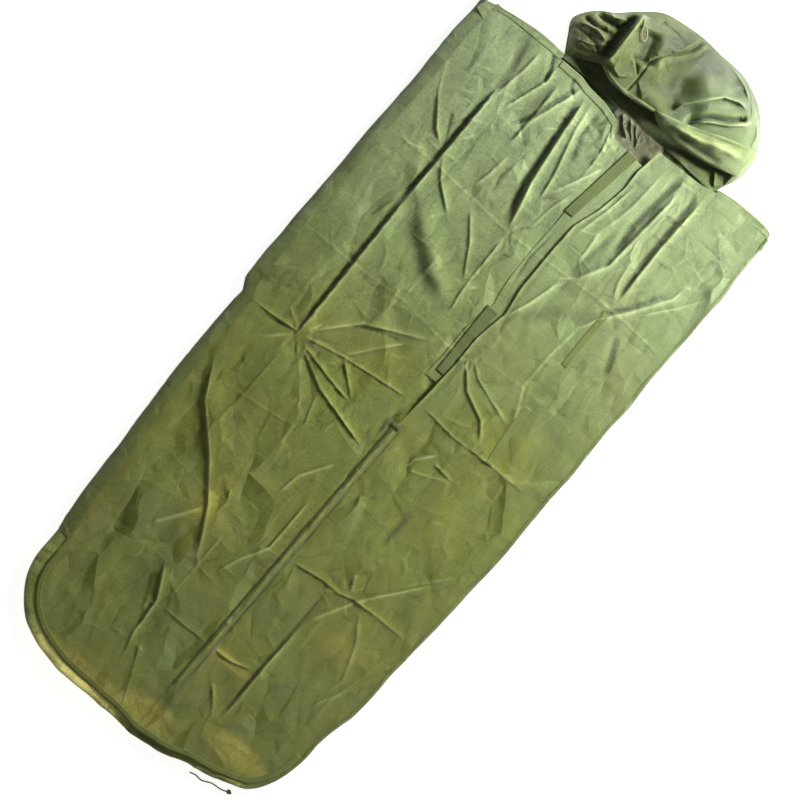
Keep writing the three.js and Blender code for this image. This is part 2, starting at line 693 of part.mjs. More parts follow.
function cordAlong(curve, steps, diameter) {
  const section = new THREE.Shape();
  for (let k = 0; k < TIE_SECTION_SIDES; k += 1) {
    const angle = (2 * Math.PI * k) / TIE_SECTION_SIDES;
    const [x, y] = [(diameter / 2) * Math.cos(angle), (diameter / 2) * Math.sin(angle)];
    if (k === 0) section.moveTo(x, y);
    else section.lineTo(x, y);
  }
  section.closePath();
  return new THREE.ExtrudeGeometry(section, { steps, extrudePath: curve });
}

// The small hanging loop, lying on the left half of the hood with both ends sewn in at the seam.
function addHoodLoop() {
  const [t, v] = [0.36, 0.42];
  const centre = hoodPoint(t, v);
  const alongT = hoodPoint(t + 0.01, v).sub(hoodPoint(t - 0.01, v)).normalize();
  const alongV = hoodPoint(t, v + 0.01).sub(hoodPoint(t, v - 0.01)).normalize();
  const normal = alongT.clone().cross(alongV).normalize();
  const points = [];
  const turns = 14;
  for (let i = 0; i < turns; i += 1) {
    const angle = (2 * Math.PI * (i + 0.5)) / turns;
    const taper = 0.55 + 0.45 * Math.sin(angle / 2);
    const point = centre.clone()
      .addScaledVector(alongV, (LOOP_LENGTH / 2) * Math.cos(angle))
      .addScaledVector(alongT, (LOOP_WIDTH / 2) * Math.sin(angle) * taper)
      .addScaledVector(normal, CLOTH / 2 + GAP + LOOP_CORD / 2 + 1.2);
    points.push(point);
  }
  const curve = new THREE.CatmullRomCurve3(points, true);
  addPiece('hood_loop', cordAlong(curve, 28, LOOP_CORD), CORD);
}

function addFootTie() {
  const route = TIE_ROUTE.map(([x, y, z]) => new THREE.Vector3(x, y, z));
  const curve = new THREE.CatmullRomCurve3(route, false, 'centripetal');
  addPiece('foot_tie_cord', cordAlong(curve, 30, TIE_DIAMETER), CORD);
  const start = route[0];
  const away = start.clone().sub(route[1]).normalize();
  const knot = new THREE.SphereGeometry(KNOT_RADIUS, 10, 8);
  knot.scale(1, 0.8, 0.75);
  knot.translate(...start.clone().addScaledVector(away, KNOT_RADIUS + GAP).toArray());
  addPiece('foot_tie_knot', knot, CORD);
}

// ---- Assembly ----

addGroundPanel();
addWalls();
addShoulderHems();
addFrontPanels();
addFootHem();
addSeamTapes();
addKeeperStrips();
addBarTack();
addLapels();
addClosure();
addNeckPieces();
addHood();
addBrims();
addHoodLoop();
addFootTie();

// The origin is the middle of the sack's base, measured without the free cord and its knot.
const box = new THREE.Box3();
for (const mesh of group.children) {
  if (!mesh.name.startsWith('foot_tie')) box.expandByObject(mesh);
}
group.position.set(-(box.min.x + box.max.x) / 2, -(box.min.y + box.max.y) / 2, -box.min.z);

export default group;
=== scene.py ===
"""Looks of a bivy sack that lies flat on its ground panel, with its hood at +Y and its foot at -Y.

Metres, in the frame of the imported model. +X runs across the sack and +Z up from the ground.
"""

import logging
import math
from dataclasses import dataclass, field
from enum import Enum
from typing import Any, Callable, Sequence

import bpy
import numpy as np
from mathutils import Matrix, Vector


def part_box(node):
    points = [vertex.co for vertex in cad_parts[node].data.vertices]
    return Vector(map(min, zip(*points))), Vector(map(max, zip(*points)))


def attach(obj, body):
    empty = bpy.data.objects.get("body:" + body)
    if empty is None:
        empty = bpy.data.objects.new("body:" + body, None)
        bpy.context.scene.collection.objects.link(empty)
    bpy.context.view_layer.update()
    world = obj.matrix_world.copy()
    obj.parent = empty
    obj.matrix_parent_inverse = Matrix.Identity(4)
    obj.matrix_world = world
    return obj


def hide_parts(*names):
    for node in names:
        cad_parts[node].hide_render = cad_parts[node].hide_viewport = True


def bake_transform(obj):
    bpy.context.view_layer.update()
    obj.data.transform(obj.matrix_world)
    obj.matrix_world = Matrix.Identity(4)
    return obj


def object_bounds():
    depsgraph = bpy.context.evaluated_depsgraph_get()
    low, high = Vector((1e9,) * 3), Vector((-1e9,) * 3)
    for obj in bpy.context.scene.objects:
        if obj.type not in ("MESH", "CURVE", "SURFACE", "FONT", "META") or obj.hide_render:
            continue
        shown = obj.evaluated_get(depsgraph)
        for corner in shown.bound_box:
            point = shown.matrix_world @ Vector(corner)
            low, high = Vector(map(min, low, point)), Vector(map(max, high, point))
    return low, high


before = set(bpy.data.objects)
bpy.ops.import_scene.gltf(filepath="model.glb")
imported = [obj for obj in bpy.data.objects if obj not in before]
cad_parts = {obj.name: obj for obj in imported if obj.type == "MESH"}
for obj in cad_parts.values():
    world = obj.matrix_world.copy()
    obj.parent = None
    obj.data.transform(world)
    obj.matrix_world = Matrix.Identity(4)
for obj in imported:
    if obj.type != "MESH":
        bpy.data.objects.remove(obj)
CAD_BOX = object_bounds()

Array = np.ndarray
Point = tuple[float, float]
Place = tuple[float, float, float]
Color = tuple[float, float, float]

# One stitch: its share of the pitch, half its width and how far it stands up.
STITCH_SHARE = 0.72
STITCH_HALF = 0.00045
STITCH_RISE = 0.0004

log = logging.getLogger("bivy_sack")


class Body(str, Enum):
    """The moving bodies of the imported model."""

    SACK = "body"
    LEFT = "left_lapel"
    RIGHT = "right_lapel"
    HOOD = "hood"


class Profile(Enum):
    """Cross-sections that a fold in cloth can have."""

    ROUND = "a soft rounded ridge"
    SHARP = "a crisp crease with straight flanks"
    PLEAT = "soft on the left of its path and steep on the right"
    LEDGE = "cloth on the left of its path lies higher and settles back"


# ---- Shader sums ----


class Link:
    """A shader output that takes part in Python sums."""

    def __init__(self, recipe: "Recipe", output: bpy.types.NodeSocket) -> None:
        """Holds an output of one of the recipe's nodes."""
        self.recipe = recipe
        self.output = output

    def beside(self, name: str) -> "Link":
        """Another output of the same node."""
        return Link(self.recipe, self.output.node.outputs[name])

    @property
    def is_vector(self) -> bool:
        """Whether the output holds a vector or a colour."""
        return self.output.type in ("VECTOR", "RGBA")

    def _sum(self, operation: str, first: Any, second: Any) -> "Link":
        """Adds a Math node.

        Args:
            operation: The node's operation.
            first: Its first number or link.
            second: Its second number or link.

        Returns:
            The node's result.
        """
        if self.is_vector:
            second = second if isinstance(second, Link) else (second,) * 3
            kind = "ShaderNodeVectorMath"
            return self.recipe.make(kind, {"operation": operation}, {0: first, 1: second})
        return self.recipe.make("ShaderNodeMath", {"operation": operation}, {0: first, 1: second})

    def __add__(self, other: Any) -> "Link":
        """self + other."""
        return self._sum("ADD", self, other)

    __radd__ = __add__

    def __sub__(self, other: Any) -> "Link":
        """self - other."""
        return self._sum("SUBTRACT", self, other)

    def __rsub__(self, other: Any) -> "Link":
        """other - self."""
        return self._sum("SUBTRACT", other, self)

    def __mul__(self, other: Any) -> "Link":
        """self * other."""
        return self._sum("MULTIPLY", self, other)

    __rmul__ = __mul__

    def __pow__(self, other: Any) -> "Link":
        """self to a power."""
        return self._sum("POWER", self, other)

    def sine(self) -> "Link":
        """The sine of a number."""
        return self._sum("SINE", self, 0.0)

    def within(self) -> "Link":
        """The number kept from 0 to 1."""
        settings = {"operation": "ADD", "use_clamp": True}
        return self.recipe.make("ShaderNodeMath", settings, {0: self, 1: 0.0})


class Recipe:
    """One material's nodes."""

    def __init__(self, name: str) -> None:
        """Starts an empty material of that name."""
        self.material = bpy.data.materials.new(name)
        self.material.use_nodes = True
        self.tree = self.material.node_tree
        self.tree.nodes.clear()

    def make(
        self, kind: str, settings: dict[str, Any] | None = None, sockets: dict[Any, Any] | None = None,
        output: int | str = 0,
    ) -> Link:
        """Adds a node.

        Args:
            kind: The node's type.
            settings: What the node is set to before its sockets.
            sockets: Values or links by socket name or number.
            output: The output that is handed back.

        Returns:
            That output.
        """
        node = self.tree.nodes.new(kind)
        for key, value in (settings or {}).items():
            setattr(node, key, value)
        for key, value in (sockets or {}).items():
            if isinstance(value, Link):
                self.tree.links.new(value.output, node.inputs[key])
            else:
                node.inputs[key].default_value = value
        return Link(self, node.outputs[output])

    def tint(self, share: Any, low: Any, high: Any) -> Link:
        """A colour between low (share 0) and high (share 1).

        Args:
            share: How much of the high colour shows.
            low: A colour or a link.
            high: A colour or a link.

        Returns:
            The mixed colour.
        """
        ends = [c if isinstance(c, Link) else (*c, 1) for c in (low, high)]
        sockets = {0: share, 6: ends[0], 7: ends[1]}
        return self.make("ShaderNodeMix", {"data_type": "RGBA"}, sockets, 2)

    def scaled(self, vector: Link, by: Place) -> Link:
        """A vector stretched along its three directions."""
        sockets = {0: vector, 1: by}
        return self.make("ShaderNodeVectorMath", {"operation": "MULTIPLY"}, sockets)

    def noise(self, vector: Link, scale: float, detail: float = 2) -> Link:
        """Soft cloud noise about 0.5."""
        sockets = {"Vector": vector, "Scale": scale, "Detail": detail}
        return self.make("ShaderNodeTexNoise", {}, sockets)

    def attribute(self, name: str, output: str = "Fac") -> Link:
        """A value that the mesh holds at each point."""
        return self.make("ShaderNodeAttribute", {"attribute_name": name}, {}, output)

    def finish(self, shader: Link) -> bpy.types.Material:
        """Joins the shader to the material's output."""
        surface = self.tree.nodes.new("ShaderNodeOutputMaterial").inputs["Surface"]
        self.tree.links.new(shader.output, surface)
        return self.material


# ---- Finishes ----


@dataclass(frozen=True)
class Nylon:
    """Woven nylon with a satin face, greener or browner from place to place, with shade and highlight
    painted into its colour.
    """

    name: str
    leaf: Color
    earth: Color
    # Colour painted as a highlight on ridges.
    pale: Color
    gold: Color = (0.29, 0.25, 0.03)
    # Pale, washed-out colour painted as a highlight where the stain value is below 0.5.
    painted_highlight: Color = (0.235, 0.3, 0.155)
    roughness: float = 0.42
    sheen: float = 0.3
    thread: float = 0.0009
    creasing: float = 1.0
    relief: float = 1.0
    earthy: float = 0.45

    def material(self) -> bpy.types.Material:
        """Builds the material, from the cloth's own coordinates, its folds and the painted shade and
        highlight of its fold value.
        """
        recipe = Recipe(self.name)
        cloth = recipe.attribute("cloth", "Vector")
        fold = recipe.attribute("fold")
        stain_and_highlight = recipe.attribute("stain_and_highlight")
        across = recipe.make("ShaderNodeSeparateXYZ", {}, {0: cloth}, 0)
        along = recipe.make("ShaderNodeSeparateXYZ", {}, {0: cloth}, 1)
        cloud = recipe.noise(cloth, 5.0, 2)
        mottle = recipe.noise(cloth, 46.0, 3)
        slubs = recipe.noise(recipe.scaled(cloth, (520, 16, 0)), 1.0, 1)
        picks = recipe.noise(recipe.scaled(cloth, (16, 520, 0)), 1.0, 1)
        turn = 2 * math.pi / self.thread
        weave = (across * turn).sine() * (along * turn).sine()

        # Values below 0.5 tint the cloth toward the pale painted highlight; above 0.5 it turns browner, and
        # past 0.72 yellow.
        brown = (self.earthy + (cloud - 0.5) * 1.7 + (stain_and_highlight - 0.5) * 1.2).within()
        base = recipe.tint(brown, self.leaf, self.earth)
        base = recipe.tint(((0.5 - stain_and_highlight) * 3.8).within() * 0.85, base, self.painted_highlight)
        base = recipe.tint(((stain_and_highlight - 0.72) * 4.0).within() * 0.7, base, self.gold)
        # Painted highlight: ridges, where the fold value is above 0.56, tint toward the pale colour.
        raised = ((fold - 0.56) * 2.0).within()
        base = recipe.tint(raised * 0.3, base, self.pale)
        specks = recipe.noise(cloth, 330.0, 2)
        bent = cloth + (recipe.make("ShaderNodeTexNoise", {}, {"Vector": cloth, "Scale": 9.0}, 1)) * 0.05
        sockets = {"Vector": recipe.scaled(bent, (1.0, 0.6, 1.0)), "Scale": 12.0}
        settings = {"feature": "DISTANCE_TO_EDGE"}
        edge = recipe.make("ShaderNodeTexVoronoi", settings, sockets, "Distance")
        patchy = ((recipe.noise(cloth, 7.0, 2) - 0.46) * 7.0).within()
        lines = (edge * -34.0 + 1.0).within() * patchy
        # Painted shade and highlight: the fold value darkens hollows and lightens ridges, and the lines of
        # small creases are painted darker. Mottle, slubs, picks, specks and weave are the cloth's own tone.
        light = (
            0.36
            + fold * 1.28
            + (mottle - 0.5) * 0.24
            + (slubs + picks - 1.0) * 0.4
            + (specks - 0.5) * 1.2
            - lines * (0.24 * self.creasing)
            + weave * 0.02
        )
        sockets = {"Color": base, "Value": light, "Saturation": 1.0}
        base = recipe.make("ShaderNodeHueSaturation", {}, sockets)

        height = (
            (
                self._facets(recipe, bent, 9.0)
                + self._facets(recipe, bent, 21.0) * 0.5
            )
            * (55.0 * self.creasing)
            + recipe.noise(cloth, 14.0, 3) * 0.6 * self.creasing
            + (slubs + picks) * 0.12
            + specks * 0.1
            + weave * 0.03
        )
        bump = recipe.make(
            "ShaderNodeBump",
            {},
            {"Strength": 1.0 * self.relief, "Distance": 0.0085, "Height": height},
        )
        roughness = self.roughness + (mottle - 0.5) * 0.12
        shader = recipe.make(
            "ShaderNodeBsdfPrincipled",
            {},
            {
                "Base Color": base, "Roughness": roughness, "Normal": bump, "Sheen Weight": self.sheen,
                "Sheen Roughness": 0.35, "Sheen Tint": (0.78, 0.95, 0.6, 1), "Specular IOR Level": 0.5,
            },
        )
        return recipe.finish(shader)

    @staticmethod
    def _facets(recipe: Recipe, cloth: Link, scale: float) -> Link:
        """Height of flat facets, each tilted its own way, with creases between them.

        Args:
            recipe: The material's recipe.
            cloth: Places on the cloth.
            scale: How many facets fit in a metre.

        Returns:
            The height.
        """
        cloth = recipe.scaled(cloth, (1.0, 0.6, 1.0))
        sockets = {"Vector": cloth, "Scale": scale}
        cell = recipe.make("ShaderNodeTexVoronoi", {"feature": "F1"}, sockets, "Color")
        settings = {"feature": "DISTANCE_TO_EDGE"}
        edge = recipe.make("ShaderNodeTexVoronoi", settings, sockets, "Distance")
        sockets = {0: cloth - cell.beside("Position"), 1: cell - 0.5}
        settings = {"operation": "DOT_PRODUCT"}
        tilt = recipe.make("ShaderNodeVectorMath", settings, sockets, "Value")
        return tilt * (edge * 5.0).within()


@dataclass(frozen=True)
class RibbedTape:
    """Hook-and-loop tape: fine cross ribs and a fuzzy face."""

    name: str
    face: Color
    shade: Color
    rib: float = 0.0052

    def material(self) -> bpy.types.Material:
        """Builds the material, with ribs across the tape's length."""
        recipe = Recipe(self.name)
        cloth = recipe.attribute("cloth", "Vector")
        along = recipe.make("ShaderNodeSeparateXYZ", {}, {0: cloth}, 1)
        fuzz = recipe.noise(cloth, 900.0, 3)
        ribs = (along * (2 * math.pi / self.rib)).sine() * 0.5 + 0.5
        share = (ribs * 0.65 + fuzz * 0.55 - 0.12).within()
        sockets = {"Strength": 0.6, "Distance": 0.0012, "Height": ribs * 0.8 + fuzz * 0.5}
        shader = recipe.make(
            "ShaderNodeBsdfPrincipled",
            {},
            {
                "Base Color": recipe.tint(share, self.shade, self.face), "Roughness": 0.88,
                "Normal": recipe.make("ShaderNodeBump", {}, sockets), "Sheen Weight": 0.15,
                "Sheen Roughness": 0.5,
            },
        )
        return recipe.finish(shader)


@dataclass(frozen=True)
class SealedTape:
    """Seam-sealing tape: a smooth film with the weave showing through."""

    name: str
    face: Color

    def material(self) -> bpy.types.Material:
        """Builds the material."""
        recipe = Recipe(self.name)
        cloth = recipe.attribute("cloth", "Vector")
        haze = recipe.noise(cloth, 60.0, 3)
        darker = tuple(0.7 * c for c in self.face)
        sockets = {"Strength": 0.3, "Distance": 0.0008, "Height": recipe.noise(cloth, 240.0)}
        shader = recipe.make(
            "ShaderNodeBsdfPrincipled",
            {},
            {
                "Base Color": recipe.tint(haze, darker, self.face), "Roughness": 0.24 + haze * 0.14,
                "Normal": recipe.make("ShaderNodeBump", {}, sockets),
            },
        )
        return recipe.finish(shader)


@dataclass(frozen=True)
class Braid:
    """Braided cord and sewing thread."""

    name: str
    light: Color
    dark: Color
    strand: float = 0.0013

    def material(self) -> bpy.types.Material:
        """Builds the material, with strands that cross over each other."""
        recipe = Recipe(self.name)
        place = recipe.make("ShaderNodeTexCoord", {}, {}, "Object")
        across = recipe.make("ShaderNodeSeparateXYZ", {}, {0: place}, 0)
        along = recipe.make("ShaderNodeSeparateXYZ", {}, {0: place}, 1)
        turn = 2 * math.pi / self.strand
        strands = ((across + along) * turn).sine() * ((across - along) * turn).sine()
        share = (strands * 0.5 + recipe.noise(place, 500.0) * 0.9).within()
        sockets = {"Strength": 0.7, "Distance": 0.0006, "Height": strands}
        shader = recipe.make(
            "ShaderNodeBsdfPrincipled",
            {},
            {
                "Base Color": recipe.tint(share, self.dark, self.light), "Roughness": 0.8,
                "Normal": recipe.make("ShaderNodeBump", {}, sockets), "Sheen Weight": 0.2,
            },
        )
        return recipe.finish(shader)


@dataclass
class Finishes:
    """Every finish on the sack, built once."""

    front: Nylon = Nylon(
        "front_nylon", (0.132, 0.182, 0.026), (0.18, 0.18, 0.017), (0.36, 0.42, 0.22),
        gold=(0.37, 0.345, 0.055),
    )
    # A darker copy of the front nylon: the darkness is painted shade on the sloping walls.
    side: Nylon = Nylon(
        "side_nylon", (0.1, 0.142, 0.02), (0.13, 0.137, 0.014), (0.22, 0.27, 0.1),
        painted_highlight=(0.16, 0.205, 0.095), earthy=0.3,
    )
    hood: Nylon = Nylon(
        "hood_nylon", (0.075, 0.108, 0.018), (0.1, 0.11, 0.016), (0.36, 0.45, 0.22),
        painted_highlight=(0.115, 0.155, 0.065), roughness=0.3, sheen=0.3, creasing=0.35, relief=0.7, earthy=0.25,
    )
    hem: Nylon = Nylon(
        "hem_nylon", (0.132, 0.182, 0.026), (0.18, 0.18, 0.017), (0.36, 0.42, 0.22), creasing=0.5,
        earthy=0.4,
    )
    ground: Nylon = Nylon(
        "ground_nylon", (0.075, 0.095, 0.034), (0.09, 0.09, 0.034), (0.15, 0.18, 0.09), roughness=0.6,
        sheen=0.1,
    )
    lining: Nylon = Nylon(
        "lining_cloth", (0.17, 0.18, 0.1), (0.145, 0.135, 0.072), (0.5, 0.5, 0.36), gold=(0.2, 0.18, 0.1),
        painted_highlight=(0.24, 0.24, 0.17), roughness=0.4, creasing=1.4, relief=1.5,
    )
    tape: SealedTape = SealedTape("seam_tape", (0.16, 0.19, 0.09))
    ribbed: RibbedTape = RibbedTape("hook_and_loop", (0.125, 0.162, 0.046), (0.05, 0.066, 0.019))
    keeper: RibbedTape = RibbedTape("keeper_tape", (0.155, 0.19, 0.04), (0.085, 0.108, 0.022))
    foot: Nylon = Nylon(
        "foot_nylon", (0.12, 0.165, 0.024), (0.5, 0.46, 0.11), (0.6, 0.6, 0.3), gold=(0.72, 0.65, 0.17),
        creasing=0.8, earthy=0.1,
    )
    cord: Braid = Braid("tie_cord", (0.36, 0.35, 0.22), (0.16, 0.15, 0.085))
    thread: Braid = Braid("sewing_thread", (0.15, 0.19, 0.045), (0.075, 0.095, 0.02), 0.0006)
    built: dict[str, bpy.types.Material] = field(default_factory=dict)

    def fit(self, piece: bpy.types.Object, finish: Any, slot: str, body: Body, *nodes: str) -> None:
        """Dresses a piece that stands for CAD nodes and rides on one body.

        Args:
            piece: The piece.
            finish: One of the finishes above.
            slot: The record's material slot.
            body: The body that it moves with.
            nodes: The CAD nodes that it stands for.
        """
        self.dress(piece, finish, slot)
        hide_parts(*nodes)
        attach(piece, body.value)

    def dress(self, piece: bpy.types.Object, finish: Any, slot: str) -> None:
        """Gives a piece its finish.

        Args:
            piece: The piece.
            finish: One of the finishes above.
            slot: Not used.
        """
        if finish.name not in self.built:
            self.built[finish.name] = finish.material()
        piece.data.materials.clear()
        piece.data.materials.append(self.built[finish.name])


# ---- Folds in the cloth ----


@dataclass(frozen=True)
class Fold:
    """One fold or crease that follows a path over the plan."""

    path: tuple[Point, ...]
    width: float
    height: float
    profile: Profile = Profile.ROUND
    fade: float = 0.3

    def rise(self, x: Array, y: Array) -> Array:
        """Height that the fold adds at plan points.

        Args:
            x: Places across the sack.
            y: Places along the sack.

        Returns:
            The heights.
        """
        result = np.zeros_like(x)
        corners = np.array(self.path, float)
        reach = 5 * self.width
        low, high = corners.min(0) - reach, corners.max(0) + reach
        near = (x > low[0]) & (x < high[0]) & (y > low[1]) & (y < high[1])
        if not near.any():
            return result
        px, py = x[near], y[near]
        legs = np.diff(corners, axis=0)
        lengths = np.hypot(legs[:, 0], legs[:, 1])
        starts = np.concatenate([[0], np.cumsum(lengths)])
        best = np.full(px.shape, 1e9)
        side, share = np.zeros_like(px), np.zeros_like(px)
        for (ax, ay), (dx, dy), length, start in zip(corners, legs, lengths, starts, strict=False):
            t = np.clip(((px - ax) * dx + (py - ay) * dy) / length**2, 0, 1)
            ex, ey = px - ax - t * dx, py - ay - t * dy
            distance = np.hypot(ex, ey)
            closer = distance < best
            best = np.where(closer, distance, best)
            side = np.where(closer, np.sign(dx * ey - dy * ex), side)
            share = np.where(closer, (start + t * length) / starts[-1], share)
        s = side * best / self.width
        if self.profile is Profile.ROUND:
            shape = np.exp(-(s**2))
        elif self.profile is Profile.SHARP:
            shape = np.exp(-1.5 * np.abs(s))
        elif self.profile is Profile.PLEAT:
            shape = np.where(s > 0, np.exp(-0.8 * s), np.exp(4.0 * s))
        else:
            shape = np.where(s > 0, np.exp(-0.35 * s), np.exp(7.0 * s))
        fade = max(self.fade, 1e-3)
        ends = np.clip(np.minimum(share, 1 - share) / fade, 0, 1)
        result[near] = self.height * shape * ends * ends * (3 - 2 * ends)
        return result


R, S, P, L = Profile.ROUND, Profile.SHARP, Profile.PLEAT, Profile.LEDGE


def folds(*rows: tuple[Any, ...]) -> list[Fold]:
    """Folds from rows in millimetres.

    Args:
        rows: Profile, width, height and fade of a fold, then the corners of its path.

    Returns:
        The folds.
    """
    made = []
    for profile, width, height, fade, *corners in rows:
        path = tuple((x / 1000, y / 1000) for x, y in corners)
        made.append(Fold(path, width / 1000, height / 1000, profile, fade))
    return made


@dataclass(frozen=True)
class Ripple:
    """Smooth, seeded unevenness of the cloth."""

    seed: int
    spacing: float
    height: float
    stretch: float = 1.0

    def rise(self, x: Array, y: Array) -> Array:
        """Height at plan points, smoothly joined over a lattice of random heights.

        Args:
            x: Places across the sack.
            y: Places along it.

        Returns:
            The heights.
        """
        size = 96
        lattice = np.random.default_rng(self.seed).uniform(-1, 1, (size, size))
        u, v = x / self.spacing + size / 2, y / self.spacing / self.stretch + size / 2
        i, j = np.floor(u).astype(int), np.floor(v).astype(int)
        fu, fv = u - i, v - j
        fu, fv = fu * fu * (3 - 2 * fu), fv * fv * (3 - 2 * fv)

        def at(a: Array, b: Array) -> Array:
            """Heights at whole-number places of the lattice."""
            return lattice[a % size, b % size]

        low = at(i, j) * (1 - fu) + at(i + 1, j) * fu
        high = at(i, j + 1) * (1 - fu) + at(i + 1, j + 1) * fu
        return self.height * (low * (1 - fv) + high * fv)


@dataclass(frozen=True)
class Crumple:
    """Many small crisp creases, scattered with a seed."""

    seed: int
    count: int
    low: Point
    high: Point
    length: float = 0.11
    width: float = 0.006
    height: float = 0.0011

    def folds(self) -> list[Fold]:
        """The creases, each bent a little in its middle."""
        rng = np.random.default_rng(self.seed)
        made = []
        for _ in range(self.count):
            middle = rng.uniform(self.low, self.high)
            angle = rng.choice([0.25, 0.9, 1.55, 2.2, 2.8]) + rng.normal(0, 0.22)
            half = self.length * rng.uniform(0.3, 1.0) / 2
            step = np.array([math.cos(angle), math.sin(angle)]) * half
            bend = np.array([-step[1], step[0]]) * rng.normal(0, 0.12)
            path = tuple(map(tuple, (middle - step, middle + bend, middle + step)))
            height = self.height * rng.choice([-1, 1]) * rng.uniform(0.4, 1.3)
            width = self.width * rng.uniform(0.6, 1.6)
            made.append(Fold(path, width, height, Profile.SHARP, 0.5))
        return made


@dataclass(frozen=True)
class Pinch:
    """A point where cloth is pulled together, with creases that run out from it."""

    place: Point
    reach: float
    rays: int
    height: float = 0.003
    seed: int = 1

    def folds(self) -> list[Fold]:
        """The creases about the point."""
        rng = np.random.default_rng(self.seed)
        made = []
        turn = rng.uniform(0, 2 * math.pi)
        for k in range(self.rays):
            angle = turn + 2 * math.pi * (k + rng.uniform(-0.3, 0.3)) / self.rays
            length = self.reach * rng.uniform(0.5, 1.2)
            x, y = self.place
            end = (x + length * math.cos(angle), y + length * math.sin(angle))
            sign = 1 if k % 2 else -0.8
            made.append(
                Fold(
                    (self.place, end), 0.0055, sign * self.height * rng.uniform(0.6, 1.1), Profile.SHARP,
                    0.55,
                )
            )
        return made


class Relief:
    """The whole unevenness of one cloth."""

    def __init__(self, parts: Sequence[Any]) -> None:
        """Gathers folds and ripples, and the creases of crumples and pinches."""
        self.parts: list[Any] = []
        for part in parts:
            self.parts += part.folds() if hasattr(part, "folds") else [part]

    def rise(self, x: Array, y: Array) -> Array:
        """Height at plan points."""
        return sum((part.rise(x, y) for part in self.parts), np.zeros_like(x))


# ---- Meshes ----


def quads_of(rows: int, columns: int, around: bool = False) -> Array:
    """Faces of a grid of points.

    Args:
        rows: How many rows of points.
        columns: How many points in a row.
        around: Whether each row closes on itself.

    Returns:
        Four point numbers for each face.
    """
    index = np.arange(rows * columns).reshape(rows, columns)
    if around:
        index = np.concatenate([index, index[:, :1]], axis=1)
    a, b, c, d = index[:-1, :-1], index[:-1, 1:], index[1:, 1:], index[1:, :-1]
    return np.stack([a, b, c, d], axis=-1).reshape(-1, 4)


def mesh_of(name: str, points: Array, quads: Array) -> bpy.types.Object:
    """A smooth mesh object from points and four-sided faces.

    Args:
        name: The object's name.
        points: The points, in any grid shape.
        quads: Four point numbers for each face.

    Returns:
        The object, linked to the scene.
    """
    mesh = bpy.data.meshes.new(name)
    points = np.asarray(points, np.float32).reshape(-1, 3)
    mesh.vertices.add(len(points))
    mesh.vertices.foreach_set("co", points.ravel())
    mesh.loops.add(quads.size)
    mesh.loops.foreach_set("vertex_index", quads.astype(np.int32).ravel())
    mesh.polygons.add(len(quads))
    mesh.polygons.foreach_set("loop_start", np.arange(0, quads.size, 4, dtype=np.int32))
    mesh.update(calc_edges=True)
    mesh.polygons.foreach_set("use_smooth", np.ones(len(quads), bool))
    piece = bpy.data.objects.new(name, mesh)
    bpy.context.scene.collection.objects.link(piece)
    return piece


def faceted(name: str, points: Array, faces: Sequence[tuple[int, ...]]) -> bpy.types.Object:
    """A smooth mesh object from points and faces of any number of sides.

    Args:
        name: The object's name.
        points: The points.
        faces: The point numbers of each face.

    Returns:
        The object, linked to the scene.
    """
    mesh = bpy.data.meshes.new(name)
    mesh.from_pydata(points.tolist(), [], faces)
    mesh.polygons.foreach_set("use_smooth", np.ones(len(faces), bool))
    piece = bpy.data.objects.new(name, mesh)
    bpy.context.scene.collection.objects.link(piece)
    return piece


def give(piece: bpy.types.Object, name: str, values: Array) -> None:
    """Stores a number or a vector at each point of a mesh.

    Args:
        piece: The mesh object.
        name: The attribute's name.
        values: One number or vector for each point.
    """
    kind = "FLOAT" if values.ndim == 1 else "FLOAT_VECTOR"
    attribute = piece.data.attributes.new(name, kind, "POINT")
    key = "value" if kind == "FLOAT" else "vector"
    attribute.data.foreach_set(key, values.astype(np.float32).ravel())


def hollows(height: Array, reach: int) -> Array:
    """How far each grid point stands above its neighbourhood, negative in a hollow.

    Args:
        height: Heights on a grid.
        reach: How many grid steps the neighbourhood reaches.

    Returns:
        The height above the mean of the neighbourhood.
    """
    smooth = height.copy()
    for axis in (0, 1):
        padded = np.pad(smooth, [(reach, reach) if a == axis else (0, 0) for a in (0, 1)], mode="edge")
        total = np.cumsum(padded, axis=axis)
        total = np.insert(total, 0, 0, axis=axis)
        count = 2 * reach + 1
        upper = np.take(total, range(count, total.shape[axis]), axis=axis)
        lower = np.take(total, range(total.shape[axis] - count), axis=axis)
        smooth = (upper - lower) / count
    return height - smooth


def shade_of(height: Array, near: float = 110.0, far: float = 60.0) -> Array:
    """The fold value of grid heights, which paints shade and highlight: 0.5 on even cloth, less (painted
    shade) in hollows, more (painted highlight) on ridges.
    """
    return np.clip(0.5 + near * hollows(height, 2) + far * hollows(height, 9), 0, 1)


def stain_and_highlight_along(y: Array) -> Array:
    """Stain-and-highlight value by the place along the sack: paler at the hood end, a painted highlight,
    and browner at the foot.
    """
    return 0.5 - 0.24 * np.clip((y + 0.1) / 0.75, -0.4, 1)


def cloth_piece(
    name: str, points: Array, cloth: Array, fold: Array | None = None, stain_and_highlight: Array | None = None,
) -> bpy.types.Object:
    """One sheet of cloth over a grid of points.

    Args:
        name: The piece's name.
        points: Rows by columns by three.
        cloth: Rows by columns by two, places on the flat cloth.
        fold: Rows by columns, the fold value: painted shade in hollows, painted highlight on ridges.
        stain_and_highlight: Rows by columns, from 0 for greener cloth under a pale painted highlight to 1
            for browner cloth.

    Returns:
        The piece.
    """
    rows, columns = points.shape[:2]
    piece = mesh_of(name, points, quads_of(rows, columns))
    flat = np.zeros((rows * columns, 3))
    flat[:, :2] = cloth.reshape(-1, 2)
    flat[:, 2] = (sum(map(ord, name)) % 17) * 0.37
    give(piece, "cloth", flat)
    even = np.full(rows * columns, 0.5)
    give(piece, "fold", even if fold is None else fold.ravel())
    plain = stain_and_highlight_along(points[..., 1]) if stain_and_highlight is None else stain_and_highlight
    give(piece, "stain_and_highlight", plain.ravel())
    return piece


